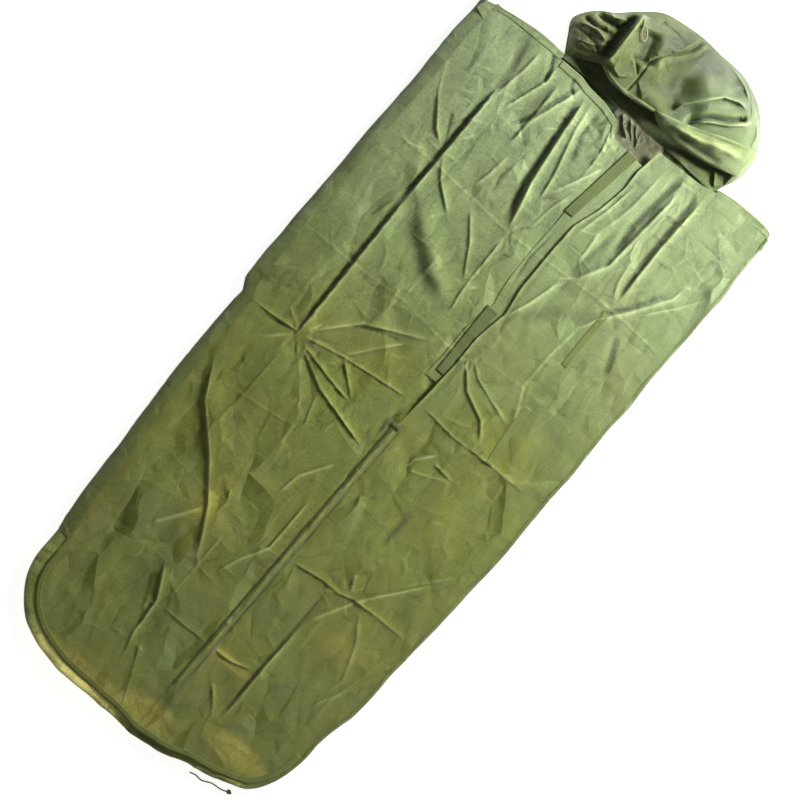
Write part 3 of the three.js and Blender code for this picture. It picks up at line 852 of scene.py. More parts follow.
def slab_piece(
    name: str, top: Array, thickness: float, cloth: Array, fold: Array | None = None
) -> bpy.types.Object:
    """A closed strip whose top face is a grid of points, with square edges.

    Args:
        name: The piece's name.
        top: Rows by columns by three.
        thickness: How thick it is, straight down.
        cloth: Rows by columns by two, places on the flat strip.
        fold: Rows by columns, the fold value: painted shade in hollows, painted highlight on ridges.

    Returns:
        The piece.
    """
    rows, columns = top.shape[:2]
    below = top - np.array([0, 0, thickness])
    upper = quads_of(rows, columns)
    lower = upper[:, ::-1] + rows * columns
    index = np.arange(rows * columns).reshape(rows, columns)
    rim = np.concatenate([index[0, :-1], index[:-1, -1], index[-1, :0:-1], index[:0:-1, 0]])
    after = np.roll(rim, -1)
    offset = rows * columns
    sides = np.stack([after, rim, rim + offset, after + offset], axis=-1)
    points = np.concatenate([top.reshape(-1, 3), below.reshape(-1, 3)])
    piece = mesh_of(name, points, np.concatenate([upper, lower, sides]))
    flat = np.zeros((2 * offset, 3))
    flat[:, :2] = np.tile(cloth.reshape(-1, 2), (2, 1))
    give(piece, "cloth", flat)
    shade = np.full(offset, 0.5) if fold is None else fold.ravel()
    give(piece, "fold", np.tile(shade, 2))
    give(piece, "stain_and_highlight", np.tile(stain_and_highlight_along(top[..., 1]).ravel(), 2))
    return piece


def tube_piece(
    name: str, path: Array, radius: Array | float, sides: int = 10, closed: bool = False
) -> bpy.types.Object:
    """A round tube along a path, with closed ends unless the path is a loop.

    Args:
        name: The piece's name.
        path: Points along its middle.
        radius: Its radius, once or at each point.
        sides: Points round it.
        closed: Whether the path is a loop.

    Returns:
        The piece.
    """
    count = len(path)
    ahead = np.roll(path, -1, 0) - np.roll(path, 1, 0)
    if not closed:
        ahead[0], ahead[-1] = path[1] - path[0], path[-1] - path[-2]
    ahead /= np.linalg.norm(ahead, axis=1)[:, None]
    side = np.cross(ahead, [0, 0, 1.0])
    side /= np.linalg.norm(side, axis=1)[:, None]
    up = np.cross(side, ahead)
    radii = np.broadcast_to(np.asarray(radius, float), (count,))[:, None, None]
    turn = np.linspace(0, 2 * math.pi, sides, endpoint=False)
    ring = (np.cos(turn)[None, :, None] * side[:, None] + np.sin(turn)[None, :, None] * up[:, None])
    points = path[:, None] + radii * ring
    quads = quads_of(count, sides, around=True)
    if closed:
        last = np.arange(sides) + (count - 1) * sides
        first = np.arange(sides)
        joint = np.stack([last, np.roll(last, -1), np.roll(first, -1), first], axis=-1)
        return mesh_of(name, points, np.concatenate([quads, joint]))
    ends = [tuple(range(sides - 1, -1, -1)), tuple(range((count - 1) * sides, count * sides))]
    return faceted(name, points.reshape(-1, 3), [*map(tuple, quads.tolist()), *ends])


def along_path(corners: Sequence[Sequence[float]], step: float) -> Array:
    """Points every step along a smooth curve through the corners.

    Args:
        corners: The corners, in plan or in space.
        step: From one point to the next.

    Returns:
        The points, evenly spaced.
    """
    points = np.array(corners, float)
    before = np.concatenate([[2 * points[0] - points[1]], points[:-1]])
    after = np.concatenate([points[1:], [2 * points[-1] - points[-2]]])
    slopes = (after - before) / 2
    fine = []
    for i in range(len(points) - 1):
        t = np.linspace(0, 1, 24, endpoint=False)[:, None]
        fine.append(
            (2 * t**3 - 3 * t**2 + 1) * points[i]
            + (t**3 - 2 * t**2 + t) * slopes[i]
            + (3 * t**2 - 2 * t**3) * points[i + 1]
            + (t**3 - t**2) * slopes[i + 1]
        )
    curve = np.concatenate([*fine, points[-1:]])
    run = np.concatenate([[0], np.cumsum(np.linalg.norm(np.diff(curve, axis=0), axis=1))])
    count = max(2, round(run[-1] / step) + 1)
    at = np.linspace(0, run[-1], count)
    return np.stack([np.interp(at, run, curve[:, k]) for k in range(curve.shape[1])], axis=-1)


def place_on(line: Array, share: Array) -> Array:
    """Points at shares of the way along a line of evenly spaced points.

    Args:
        line: The points of the line.
        share: Shares from 0 to 1.

    Returns:
        One point for each share.
    """
    steps = np.linspace(0, 1, len(line))
    return np.stack([np.interp(share, steps, line[:, k]) for k in range(line.shape[1])], -1)


def stitching(name: str, lines: Sequence[Array], pitch: float = 0.0042) -> bpy.types.Object:
    """Rows of single stitches as small raised beads of thread.

    Args:
        name: The piece's name.
        lines: The points that each row follows, on the cloth's surface.
        pitch: From one stitch to the next.

    Returns:
        The piece.
    """
    points, quads = [], []
    shape = np.array([
        [-0.5, 0, -0.2], [-0.3, 1, 0], [0.3, 1, 0], [0.5, 0, -0.2], [-0.3, -1, 0], [0.3, -1, 0],
        [-0.28, 0, 1], [0.28, 0, 1],
    ])
    faces = np.array([[0, 4, 6, 0], [4, 5, 7, 6], [5, 3, 7, 5], [0, 6, 1, 0], [6, 7, 2, 1], [7, 3, 2, 7]])
    for line in lines:
        for start, end in zip(line[:-1], line[1:], strict=True):
            ahead = end - start
            length = np.linalg.norm(ahead)
            if length < 1e-5:
                continue
            ahead = ahead / length
            side = np.cross([0, 0, 1.0], ahead)
            side /= max(np.linalg.norm(side), 1e-9)
            up = np.cross(ahead, side)
            local = (
                shape[:, :1] * ahead * pitch * STITCH_SHARE
                + shape[:, 1:2] * side * STITCH_HALF
                + shape[:, 2:] * up * STITCH_RISE
            )
            base = 8 * len(points)
            points.append((start + end) / 2 + local)
            quads += [[base + k for k in face] for face in faces]
    return faceted(name, np.concatenate(points), [tuple(dict.fromkeys(face)) for face in quads])


def report(piece: bpy.types.Object, what: str) -> None:
    """Logs one finished piece."""
    log.info("%s: %s, %d faces", piece.name, what, len(piece.data.polygons))


# ---- The sack's shape ----


def mix(a: Any, b: Any, t: Any) -> Any:
    """Between a and b."""
    return a + (b - a) * t


@dataclass(frozen=True)
class SackShape:
    """Plan outline and heights of the sack as it lies."""

    foot_y: float = -1.0734
    curve_y: float = -0.8134
    shoulder_y: float = 0.8146
    top_y: float = 0.8013
    foot_half: float = 0.4
    body_half: float = 0.45
    taper: float = 0.71
    foot_curve: float = 0.26
    roundness: float = 3.0
    seam_height: float = 0.024
    crown: float = 0.014
    crown_run: float = 0.6
    left_inset: float = 0.0363
    right_inset: float = 0.0123
    seam_x: float = 0.06
    opening_end: float = -0.1014
    neck_left: float = -0.218
    neck_right: float = 0.272

    def half_width(self, y: Array) -> Array:
        """Half the sack's width at places along it."""
        t = np.clip((y - self.curve_y) / self.taper, 0, 1)
        return mix(self.foot_half, self.body_half, t * (2 - t))

    def left_seam(self, y: Array) -> Array:
        """Where the front is sewn to the left side, at places along the sack."""
        return -self.half_width(y) + self.left_inset

    def right_seam(self, y: Array) -> Array:
        """Where the front is sewn to the right side, at places along the sack."""
        return self.half_width(y) - self.right_inset

    def foot_outline(self, share: Array) -> Array:
        """Outline of the rounded foot, from the left side (0) to the right side (1).

        Args:
            share: How far round the foot.

        Returns:
            Plan points.
        """
        angle = math.pi * np.asarray(share, float)
        across = np.abs(np.cos(angle)) / self.foot_half
        along = np.abs(np.sin(angle)) / self.foot_curve
        radius = (across**self.roundness + along**self.roundness) ** (-1 / self.roundness)
        x, y = -radius * np.cos(angle), self.curve_y - radius * np.sin(angle)
        return np.stack([x, y], -1)

    def foot_inside(self, share: Array, inset: Array) -> Array:
        """The foot's outline, moved inwards.

        Args:
            share: How far round the foot.
            inset: How far inside the outline.

        Returns:
            Plan points.
        """
        step = 1e-4
        share = np.asarray(share, float)
        ahead = self.foot_outline(np.minimum(1, share + step))
        behind = self.foot_outline(np.maximum(0, share - step))
        tangent = ahead - behind
        tangent /= np.linalg.norm(tangent, axis=-1, keepdims=True)
        inward = np.stack([-tangent[..., 1], tangent[..., 0]], -1)
        return self.foot_outline(share) + inward * np.asarray(inset)[..., None]

    def foot_rim(self, share: Array) -> Array:
        """The line where the front's foot end is sewn."""
        share = np.asarray(share, float)
        return self.foot_inside(share, mix(self.left_inset, self.right_inset, share))

    def share_at(self, x: float) -> float:
        """Share of the way round the foot at which its rim crosses x."""
        shares = np.linspace(0, 1, 2001)
        return float(np.interp(x, self.foot_rim(shares)[:, 0], shares))

    def height(self, x: Array, y: Array) -> Array:
        """Height of smooth front cloth.

        Args:
            x: Places across the sack.
            y: Places along it.

        Returns:
            The heights.
        """
        left, right = self.left_seam(y), self.right_seam(y)
        across = np.clip((2 * x - left - right) / (right - left), -1, 1)
        run = np.clip((y - self.foot_y) / self.crown_run, 0, 1)
        rise = 0.5 - 0.5 * np.cos(math.pi * run)
        return self.seam_height + self.crown * rise * (1 - across**2)

    def settle(self, plan: Array) -> Array:
        """Moves plan points as the uneven lie of the sack moves them.

        Args:
            plan: Plan points of the even shape.

        Returns:
            The same points where the cloth really lies.
        """
        x, y = plan[..., 0], plan[..., 1]
        foot = np.clip((-0.78 - y) / 0.24, 0, 1) ** 2
        spots = [-0.40, -0.34, -0.26, -0.15, -0.03, 0.05, 0.13, 0.20, 0.28, 0.34, 0.40]
        lifts = [0.0, -0.004, -0.008, -0.002, 0.004, -0.004, 0.008, 0.021, 0.02, 0.004, 0.0]
        shifted_y = y + foot * np.interp(x, spots, lifts)
        along = [-0.95, -0.7, -0.5, -0.3, -0.13, -0.1, -0.07, 0.1, 0.4, 0.6, 0.8]
        left = [0.0, 0.007, 0.012, 0.014, 0.013, 0.018, 0.004, -0.003, -0.004, -0.002, 0.0]
        right = [0.003, 0.012, 0.003, 0.001, 0.001, 0, -0.001, 0, -0.003, -0.002, -0.005]
        shifted_y = shifted_y + foot * Ripple(43, 0.045, 0.0035).rise(x, y * 0.2)
        shifted_x = x + Ripple(44, 0.07, 0.003).rise(y, x * 0.2) * (x / 0.45) ** 2
        weight_left = np.clip(-x / 0.42, 0, 1) ** 3
        weight_right = np.clip(x / 0.42, 0, 1) ** 3
        shifted_x = (
            shifted_x
            + weight_left * np.interp(y, along, left)
            + weight_right * np.interp(y, along, right)
        )
        return np.stack([shifted_x, shifted_y], -1)


SHAPE = SackShape()


def patch(left: Array, right: Array, near: Array, far: Array) -> Array:
    """Plan grid inside four edge lines.

    Args:
        left: Rows by two.
        right: Rows by two.
        near: Columns by two, the first row.
        far: Columns by two, the last row.

    Returns:
        Rows by columns by two.
    """
    v = np.linspace(0, 1, len(left))[:, None, None]
    u = np.linspace(0, 1, len(near))[None, :, None]
    sides = left[:, None] * (1 - u) + right[:, None] * u
    ends = near[None] * (1 - v) + far[None] * v
    corners = (
        left[0] * (1 - u) * (1 - v) + right[0] * u * (1 - v) + left[-1] * (1 - u) * v + right[-1] * u * v
    )
    return sides + ends - corners


def area_of(grid: Array) -> float:
    """Area of a grid of plan or space points.

    Args:
        grid: Rows by columns by two or three.

    Returns:
        The area.
    """
    if grid.shape[-1] == 2:
        grid = np.concatenate([grid, np.zeros((*grid.shape[:2], 1))], -1)
    a = grid[1:, 1:] - grid[:-1, :-1]
    b = grid[1:, :-1] - grid[:-1, 1:]
    return float(np.linalg.norm(np.cross(a, b), axis=-1).sum() / 2)


# ---- Front ----


@dataclass
class FrontCloth:
    """The two halves of the front, from the foot to the collar, with every fold that they have."""

    finishes: Finishes
    rows: int = 600
    left_columns: int = 156
    right_columns: int = 122
    collar_left: tuple[Point, ...] = (
        (-0.414, 0.805), (-0.20, 0.806), (-0.146, 0.806), (-0.117, 0.799), (-0.06, 0.794),
        (-0.018, 0.782), (0.006, 0.745), (0.035, 0.743), (0.098, 0.738),
    )
    collar_right: tuple[Point, ...] = (
        (0.110, 0.789), (0.225, 0.793), (0.262, 0.799), (0.29, 0.806), (0.438, 0.805),
    )
    opening: tuple[Point, ...] = (
        (0.0575, -1.1), (0.0575, -0.10), (0.064, 0.0), (0.068, 0.102), (0.066, 0.172), (0.074, 0.23),
        (0.081, 0.26), (0.069, 0.333), (0.067, 0.457), (0.069, 0.528), (0.090, 0.592), (0.1025, 0.67),
        (0.0995, 0.718), (0.110, 0.789),
    )
    relief: Relief = field(init=False)

    def __post_init__(self) -> None:
        """Lays out the folds."""
        self.relief = Relief([*self._long_folds(), *self._small_folds()])

    @staticmethod
    def _long_folds() -> list[Fold]:
        """The folds that run over the cloth, from where it was packed and where it is pulled."""
        return folds(
            # Lengthwise fold left of the middle.
            (L, 7, 7.5, 0.12, (-281, 670), (-278, 460), (-277, 315)),
            (L, 6, 5.5, 0.15, (-277, 340), (-267, 0), (-264, -134)),
            (P, 7, 2.2, 0.3, (-265, -120), (-268, -300), (-280, -450)),
            (R, 7, -4, 0.15, (-289, 660), (-286, 300), (-273, -100)),
            # Chest folds that fan out below the neck.
            (P, 11, 9, 0.2, (-107, 790), (-91, 647), (-75, 536), (-40, 400)),
            (R, 10, -6, 0.2, (-121, 780), (-104, 650), (-90, 530), (-60, 420)),
            (P, 7, 6, 0.25, (-87, 790), (-75, 694), (-44, 584), (-30, 489)),
            (R, 8, -4, 0.25, (-62, 790), (-55, 700), (-30, 610)),
            (P, 7, 6.5, 0.2, (-123, 790), (-170, 647), (-200, 600)),
            (S, 6, -4, 0.2, (-135, 790), (-178, 660), (-210, 600)),
            (P, 7, 6, 0.2, (-174, 760), (-172, 660), (-172, 568)),
            (P, 8, 6, 0.2, (-205, 790), (-201.7, 740), (-241, 623)),
            (S, 6, -6, 0.25, (-235, 810), (-215, 770), (-205, 730)),
            (P, 10, 5, 0.25, (-255, 800), (-262, 720), (-275, 630)),
            (R, 9, -3, 0.3, (-300, 800), (-290, 720), (-282, 650)),
            (S, 5, -5, 0.3, (-163, 800), (-150, 770), (-120, 750)),
            (P, 9, 4, 0.25, (-16, 772), (4, 700), (10, 620)),
            (P, 6, 5, 0.2, (36, 680), (0, 600), (-28, 544)),
            (P, 9, 4, 0.3, (22, 600), (0, 520), (-10, 430)),
            (S, 7, -5, 0.3, (45, 500), (35, 400), (50, 300)),
            (P, 10, 5, 0.3, (-155, 560), (-165, 480), (-180, 430)),
            (S, 8, -3, 0.3, (-125, 600), (-140, 500), (-125, 440)),
            # Right side of the chest.
            (R, 10, -8, 0.2, (189, 790), (175, 615), (185, 520)),
            (P, 12, 9, 0.2, (209, 760), (197, 584), (193, 505), (154, 434), (106, 394)),
            (R, 8, -6, 0.2, (244, 790), (248, 584), (262, 440)),
            (P, 8, 6.5, 0.2, (262, 790), (259, 620), (266, 430)),
            (P, 12, 5, 0.3, (150, 770), (145, 650), (128, 550)),
            (P, 7, 6, 0.25, (118, 700), (108, 610), (82, 500)),
            (P, 6, 5, 0.3, (122, 560), (130, 500), (132, 455)),
            (R, 10, -4, 0.3, (155, 600), (150, 530), (130, 420)),
            (P, 8, 5, 0.3, (225, 560), (235, 490), (258, 440)),
            (P, 9, 7.5, 0.2, (367, 595), (359, 544), (303.5, 457), (256, 394), (224.5, 331)),
            (R, 9, -4, 0.25, (350, 560), (290, 455), (240, 390)),
            (P, 8, 4, 0.25, (434, 615), (382, 536), (319, 457)),
            (S, 6, -1.6, 0.3, (296, 694), (370, 690), (437, 686)),
            (R, 9, -5, 0.25, (310, 400), (337, 345), (358.7, 292)),
            (S, 7, -4, 0.3, (398, 300), (430, 229)),
            # Long diagonals on the left.
            (P, 9, 6, 0.2, (-434.5, 660), (-383, 560), (-328, 489), (-281, 457)),
            (P, 8, 6, 0.25, (-281, 457), (-241, 402), (-162, 340)),
            (S, 6, -4, 0.2, (-332, 552), (-281, 457)),
            (S, 6, 2.6, 0.3, (-420, 440), (-360, 420), (-300, 440)),
            (R, 34, 10, 0.3, (-270, 370), (-194, 300), (-115, 237), (-30, 195)),
            (R, 20, -5, 0.3, (-265, 330), (-210, 260), (-120, 200), (-30, 165)),
            (P, 9, 5, 0.25, (-154, 410), (-91, 332), (-36, 241)),
            (P, 7, 5, 0.2, (-40, 410), (-36, 300), (-33, 235), (-20, 158)),
            (S, 5, 2, 0.25, (-131, 300), (-128, 200), (-127, 119)),
            (R, 16, -3, 0.4, (-400, 330), (-360, 240), (-380, 160)),
            # Cross creases from packing.
            (S, 4.5, 1.7, 0.05, (-430, 418), (-280, 425), (-40, 412), (260, 432), (440, 424)),
            (S, 4.5, 1.6, 0.08, (-410, 117), (-270, 119), (-127, 130), (50, 112)),
            (S, 4.5, 0.9, 0.2, (80, 140), (224.5, 157), (430, 150)),
            (P, 6, 3.6, 0.1, (-440, -102), (-350, -98), (-260, -88)),
            (P, 6, 4, 0.15, (-260, -90), (-139, -63), (43, -38)),
            (P, 6, 3.4, 0.15, (67, -31), (180, -41), (244, -35), (400, -31)),
            (S, 5, 1.8, 0.2, (-340, -296), (-220, -280), (-107, -260)),
            (P, 7, 3.8, 0.12, (67, -513), (161, -497), (209, -497), (248, -485), (311, -481),
             (440, -480)),
            (P, 6, 2.4, 0.2, (-91, -793), (-20, -792), (51, -789)),
            (P, 10, 4, 0.2, (67, -789), (120, -785), (177, -767)),
            (S, 5, 1.2, 0.3, (-370, -500), (-200, -510), (-30, -515)),
            # Hip.
            (P, 7, 4.8, 0.2, (-257, -83), (-162, 24), (3.6, 107)),
            (P, 6, 4, 0.2, (-146, -63), (-99, 0), (-44, 63.5)),
            (S, 6, -3, 0.25, (-200, -5), (-120, 35), (-52, 56)),
            (P, 6, 4.8, 0.2, (-241, -102), (-150, -122), (-60, -138)),
            (P, 6, 5.6, 0.2, (-241, -106), (-138.5, -157.5), (35, -201)),
            (P, 5, 4, 0.2, (-146, -63), (-100, -100), (-60, -134)),
            (P, 6, 3, 0.25, (-138.5, -165), (-120, -220), (-103, -260)),
            (P, 6, 4, 0.2, (82.5, 142.5), (130, 103), (264, 59.6)),
            (P, 8, 5.5, 0.2, (74.6, 126.7), (130, 63.5), (200, 32), (244, -23)),
            (S, 7, -2.5, 0.25, (264, 60), (310, 10), (340, -25)),
            (S, 5, 3, 0.15, (236, 363.5), (224.5, 253), (224.5, 158), (256, 95), (264, 55.6)),
            (P, 9, 7, 0.2, (130, 403), (106, 316), (82.5, 253)),
            (R, 22, -6, 0.3, (83, 245), (160, 330), (260, 395)),
            (P, 6, 4.5, 0.2, (177, -94), (138, -142), (134, -173)),
            (S, 5, 3, 0.2, (134, -173), (190, -150), (240, -126)),
            (P, 6, 4, 0.2, (177, -116.4), (210, -120), (250, -122)),
            (R, 7, -4, 0.3, (45, -60), (30, -120), (36, -170)),
            # Lower body.
            (P, 10, 6.2, 0.15, (-383, -252), (-328, -355), (-233, -449.5), (-162, -536), (-91, -663)),
            (R, 28, 5, 0.3, (-360, -260), (-290, -370), (-190, -460)),
            (P, 8, 5, 0.2, (-162, -544), (-209.6, -615), (-241, -663)),
            (S, 5, 3, 0.2, (-87, -552), (-87, -670), (-87, -789)),
            (P, 6, 5, 0.2, (11.5, -260), (-44, -347), (-55.6, -415)),
            (P, 6, 5, 0.15, (15.4, -370), (15.4, -520.5), (-20, -584), (-48, -655)),
            (P, 9, 7, 0.15, (-154, -702), (-107, -789), (-99, -883.5), (-75, -970)),
            (P, 7, 6.5, 0.15, (-75.4, -883.5), (-36, -970), (-4, -1040)),
            (R, 35, -6, 0.3, (-230, -600), (-170, -720), (-155, -860)),
            (R, 30, 5, 0.3, (-210, -760), (-250, -860), (-300, -940)),
            (R, 10, -4, 0.3, (217, -236), (215, -300), (213, -360)),
            (P, 8, 5, 0.15, (374.5, -331), (280, -449.5), (248, -497), (193, -599.5)),
            (P, 6, 4, 0.2, (208.8, -433.7), (232.5, -481)),
            (S, 8, -5, 0.15, (185, -510), (183.5, -750), (185, -930)),
            (P, 9, 4.5, 0.2, (193, -600), (190, -750), (193, -930)),
            (P, 7, 5, 0.2, (114, -844), (161, -899), (187, -990)),
            (P, 9, 4, 0.2, (272, -497), (319, -560), (351, -647), (343, -710)),
            (P, 8, 5, 0.2, (430, -552), (382, -647), (327, -757)),
            (P, 10, 4.5, 0.2, (400, -520), (385, -600), (360, -700), (360, -800)),
            (S, 7, 2.8, 0.3, (406, -284), (355, -340), (303.5, -402)),
            # Foot.
            (R, 18, 6, 0.3, (-280, -995), (-150, -1005), (-20, -1000)),
            (R, 16, 6, 0.3, (20, -1000), (100, -985), (180, -970)),
            (P, 14, 5, 0.3, (190, -955), (260, -930), (340, -925)),
            (S, 8, -3, 0.3, (-273, -970), (-200, -985), (-140, -975)),
            (S, 6, -4, 0.3, (-20, -985), (20, -1010), (45, -1030)),
            (S, 6, -4, 0.3, (80, -990), (120, -1010), (150, -1020)),
        )

    @staticmethod
    def _small_folds() -> list[Any]:
        """Pinched points, scattered creases and the general unevenness."""
        return [
            Pinch((-0.261, -0.090), 0.11, 9, 0.004, 3),
            Pinch((-0.032, 0.245), 0.05, 6, 0.003, 4),
            Pinch((0.055, 0.119), 0.06, 7, 0.003, 5),
            Pinch((-0.040, 0.410), 0.07, 7, 0.003, 6),
            Pinch((0.264, 0.430), 0.06, 8, 0.0035, 7),
            Pinch((-0.2845, 0.457), 0.06, 7, 0.003, 8),
            Pinch((0.244, -0.039), 0.05, 7, 0.003, 9),
            Pinch((0.248, -0.126), 0.04, 5, 0.002, 10),
            Pinch((-0.1385, -0.0785), 0.05, 6, 0.003, 11),
            Pinch((0.221, -0.489), 0.07, 8, 0.003, 12),
            Pinch((-0.091, -0.663), 0.06, 6, 0.0025, 13),
            Pinch((-0.099, -0.8995), 0.07, 7, 0.003, 14),
            Pinch((0.185, -0.749), 0.06, 6, 0.0025, 15),
            Pinch((0.40, -0.60), 0.08, 8, 0.0026, 16),
            Pinch((-0.34, 0.43), 0.06, 6, 0.002, 17),
            Pinch((0.02, -1.0), 0.06, 7, 0.003, 18),
            Crumple(21, 260, (-0.42, -0.1), (0.43, 0.80), 0.12, 0.0045, 0.0014),
            Crumple(22, 280, (-0.40, -1.05), (0.42, -0.1), 0.11, 0.0045, 0.0013),
            Crumple(23, 80, (-0.36, 0.5), (0.32, 0.80), 0.10, 0.005, 0.0022),
            Ripple(31, 0.16, 0.0046, 1.3),
            Ripple(32, 0.07, 0.0024, 1.4),
            Ripple(33, 0.032, 0.0008, 1.6),
        ]

    def line_x(self, y: Array) -> Array:
        """The front edge of the right half, which is also the centre seam lower down."""
        points = np.array(self.opening)
        return np.interp(y, points[:, 1], points[:, 0])

    def surface(self, plan: Array, rise: Array | None = None) -> Array:
        """Points of the front cloth over settled plan points.

        Args:
            plan: Settled plan points.
            rise: Height of the folds there, if it is known already.

        Returns:
            Points in space.
        """
        x, y = plan[..., 0], plan[..., 1]
        risen = self.relief.rise(x, y) if rise is None else rise
        edge = np.clip((SHAPE.height(x, y) - SHAPE.seam_height) / 0.004, 0.3, 1)
        z = SHAPE.height(x, y) + risen * edge
        return np.stack([x, y, z], -1)

    def _seam_pucker(self, x: Array, y: Array) -> Array:
        """Raised felled seam with puckers, below the opening.

        Args:
            x: Places across the sack.
            y: Places along it.

        Returns:
            The heights.
        """
        away = np.abs(x - self.line_x(y))
        below = np.clip((-0.09 - y) / 0.02, 0, 1)
        ridge = 0.0022 * np.exp(-((away / 0.005) ** 4))
        groove = -0.0022 * np.exp(-(((away - 0.010) / 0.004) ** 2))
        drawn = Ripple(41, 0.02, 0.0022, 0.8).rise(x * 0.2, y)
        pucker = drawn * np.exp(-((away / 0.014) ** 2))
        return below * (ridge + groove + pucker)

    @staticmethod
    def _stain_and_highlight(x: Array, y: Array) -> Array:
        """Browner towards the foot and paler towards the hood, the paler part a painted highlight, with
        yellow patches by the foot seam.

        Args:
            x: Places across the sack.
            y: Places along it.

        Returns:
            Stain-and-highlight values, from 0 for greener cloth under a pale painted highlight to 1 for
            browner cloth.
        """
        value = stain_and_highlight_along(y)
        spots = [
            (-0.21, -1.035, 0.13, 0.024, 0.9), (-0.04, -1.035, 0.10, 0.018, 0.7),
            (0.27, -0.945, 0.08, 0.03, 0.7), (0.12, -0.788, 0.06, 0.014, 0.6),
            (0.06, -1.0, 0.09, 0.03, 0.5), (-0.05, -0.02, 0.07, 0.05, 0.18),
            (0.24, 0.02, 0.07, 0.04, 0.16), (0.0, -0.16, 0.09, 0.04, 0.2),
            (-0.16, -0.52, 0.04, 0.09, 0.3), (0.30, -0.60, 0.09, 0.05, 0.25),
        ]
        for cx, cy, rx, ry, amount in spots:
            value = value + amount * np.exp(-(((x - cx) / rx) ** 2) - ((y - cy) / ry) ** 2)
        return np.clip(value, 0, 1)

    def _grid(self, left_half: bool) -> Array:
        """Plan grid of one half, from the foot to the collar.

        Args:
            left_half: Whether it is the left half.

        Returns:
            Rows by columns by two.
        """
        share = SHAPE.share_at(0.0575)
        v = np.linspace(0, 1, self.rows)
        collar = np.array(self.collar_left if left_half else self.collar_right)
        columns = self.left_columns if left_half else self.right_columns
        t = np.linspace(0, 1, columns)
        seam_foot = SHAPE.foot_rim(np.array(share))
        if left_half:
            side_y = mix(SHAPE.curve_y, collar[0, 1], v)
            outer = np.stack([SHAPE.left_seam(side_y), side_y], -1)
            inner_y = mix(seam_foot[1], collar[-1, 1], v)
            tucked = 0.006 * np.clip((inner_y - 0.0) / 0.1, 0, 1)
            inner = np.stack([self.line_x(inner_y) + tucked, inner_y], -1)
            near = SHAPE.foot_rim(share * t)
            xs = mix(outer[-1, 0], inner[-1, 0], t)
            far = np.stack([xs, np.interp(xs, collar[:, 0], collar[:, 1])], -1)
            inner[-1] = far[-1]
            return patch(outer, inner, near, far)
        side_y = mix(SHAPE.curve_y, collar[-1, 1], v)
        outer = np.stack([SHAPE.right_seam(side_y), side_y], -1)
        inner_y = mix(seam_foot[1], collar[0, 1], v)
        inner = np.stack([self.line_x(inner_y), inner_y], -1)
        near = SHAPE.foot_rim(mix(share, 1, t))
        xs = mix(inner[-1, 0], outer[-1, 0], t)
        far = np.stack([xs, np.interp(xs, collar[:, 0], collar[:, 1])], -1)
        return patch(inner, outer, near, far)

    def half_points(self, left_half: bool) -> tuple[Array, Array, Array, Array]:
        """Points, plan, fold values (painted shade and highlight) and stain-and-highlight values of one
        half.

        Args:
            left_half: Whether it is the left half.

        Returns:
            Points in space, plan points, fold values and stain-and-highlight values.
        """
        plan = SHAPE.settle(self._grid(left_half))
        x, y = plan[..., 0], plan[..., 1]
        rise = self.relief.rise(x, y) + self._seam_pucker(x, y)
        away = np.abs(x - self.line_x(y))
        open_part = np.clip((y + 0.09) / 0.08, 0, 1)
        if left_half:
            rise = rise - open_part * 0.0042 * np.exp(-((away / 0.018) ** 2))
        else:
            lip = np.exp(-((away / 0.007) ** 2)) + 0.5 * np.exp(-((away / 0.025) ** 2))
            rise = rise + open_part * (0.0034 * lip + 0.0012)
        points = self.surface(plan, rise)
        return points, plan, shade_of(points[..., 2], 140, 68), self._stain_and_highlight(x, y)

    def build(self) -> None:
        """Builds both halves of the front as sheets."""
        for left_half in (True, False):
            name = "front_left" if left_half else "front_right"
            points, plan, fold, stain_and_highlight = self.half_points(left_half)
            piece = cloth_piece(name, points, plan, fold, stain_and_highlight)
            self.finishes.dress(piece, self.finishes.front, "front_cloth")
            side = "left" if left_half else "right"
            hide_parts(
                f"{side}_front_panel_lower", f"{side}_front_panel_upper", f"{side}_lapel_panel",
            )
            fold_sheet(piece, left_half)
            width = 0.51 if left_half else 0.41
            min(area_of(plan), width * 1.88)
            report(piece, "half of the front")

    def band(
        self, name: str, left: Callable[[Array], Array], right: Callable[[Array], Array], y_range: Point,
        lift: float, thickness: float, columns: int = 8,
    ) -> bpy.types.Object:
        """A strip that lies on the front, or under it where lift is negative.

        Args:
            name: The piece's name.
            left: Its left edge at places along the sack.
            right: Its right edge.
            y_range: Where it starts and ends along the sack.
            lift: Its top above the cloth.
            thickness: How thick it is.
            columns: Points across.

        Returns:
            The piece.
        """
        rows = max(6, round((y_range[1] - y_range[0]) / 0.004))
        y = np.linspace(*y_range, rows)
        u = np.linspace(0, 1, columns)
        x = mix(left(y)[:, None], right(y)[:, None], u[None])
        plan = np.stack([x, np.broadcast_to(y[:, None], x.shape)], -1)
        top = self.surface(plan) + np.array([0, 0, lift])
        return slab_piece(name, top, thickness, plan, shade_of(top[..., 2], 120, 30))


def fold_sheet(piece: bpy.types.Object, left_half: bool) -> None:
    """Bakes a piece's transform; the lapel's fold line is worked out, but nothing bends there.

    Args:
        piece: A finished mesh on the front.
        left_half: Whether it is on the left half.
    """
    corner = SHAPE.neck_left if left_half else SHAPE.neck_right
    start = np.array([SHAPE.seam_x, SHAPE.opening_end])
    line = np.array([corner, SHAPE.top_y]) - start
    line /= np.linalg.norm(line)
    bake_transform(piece)


# ---- Sides, foot and ground ----


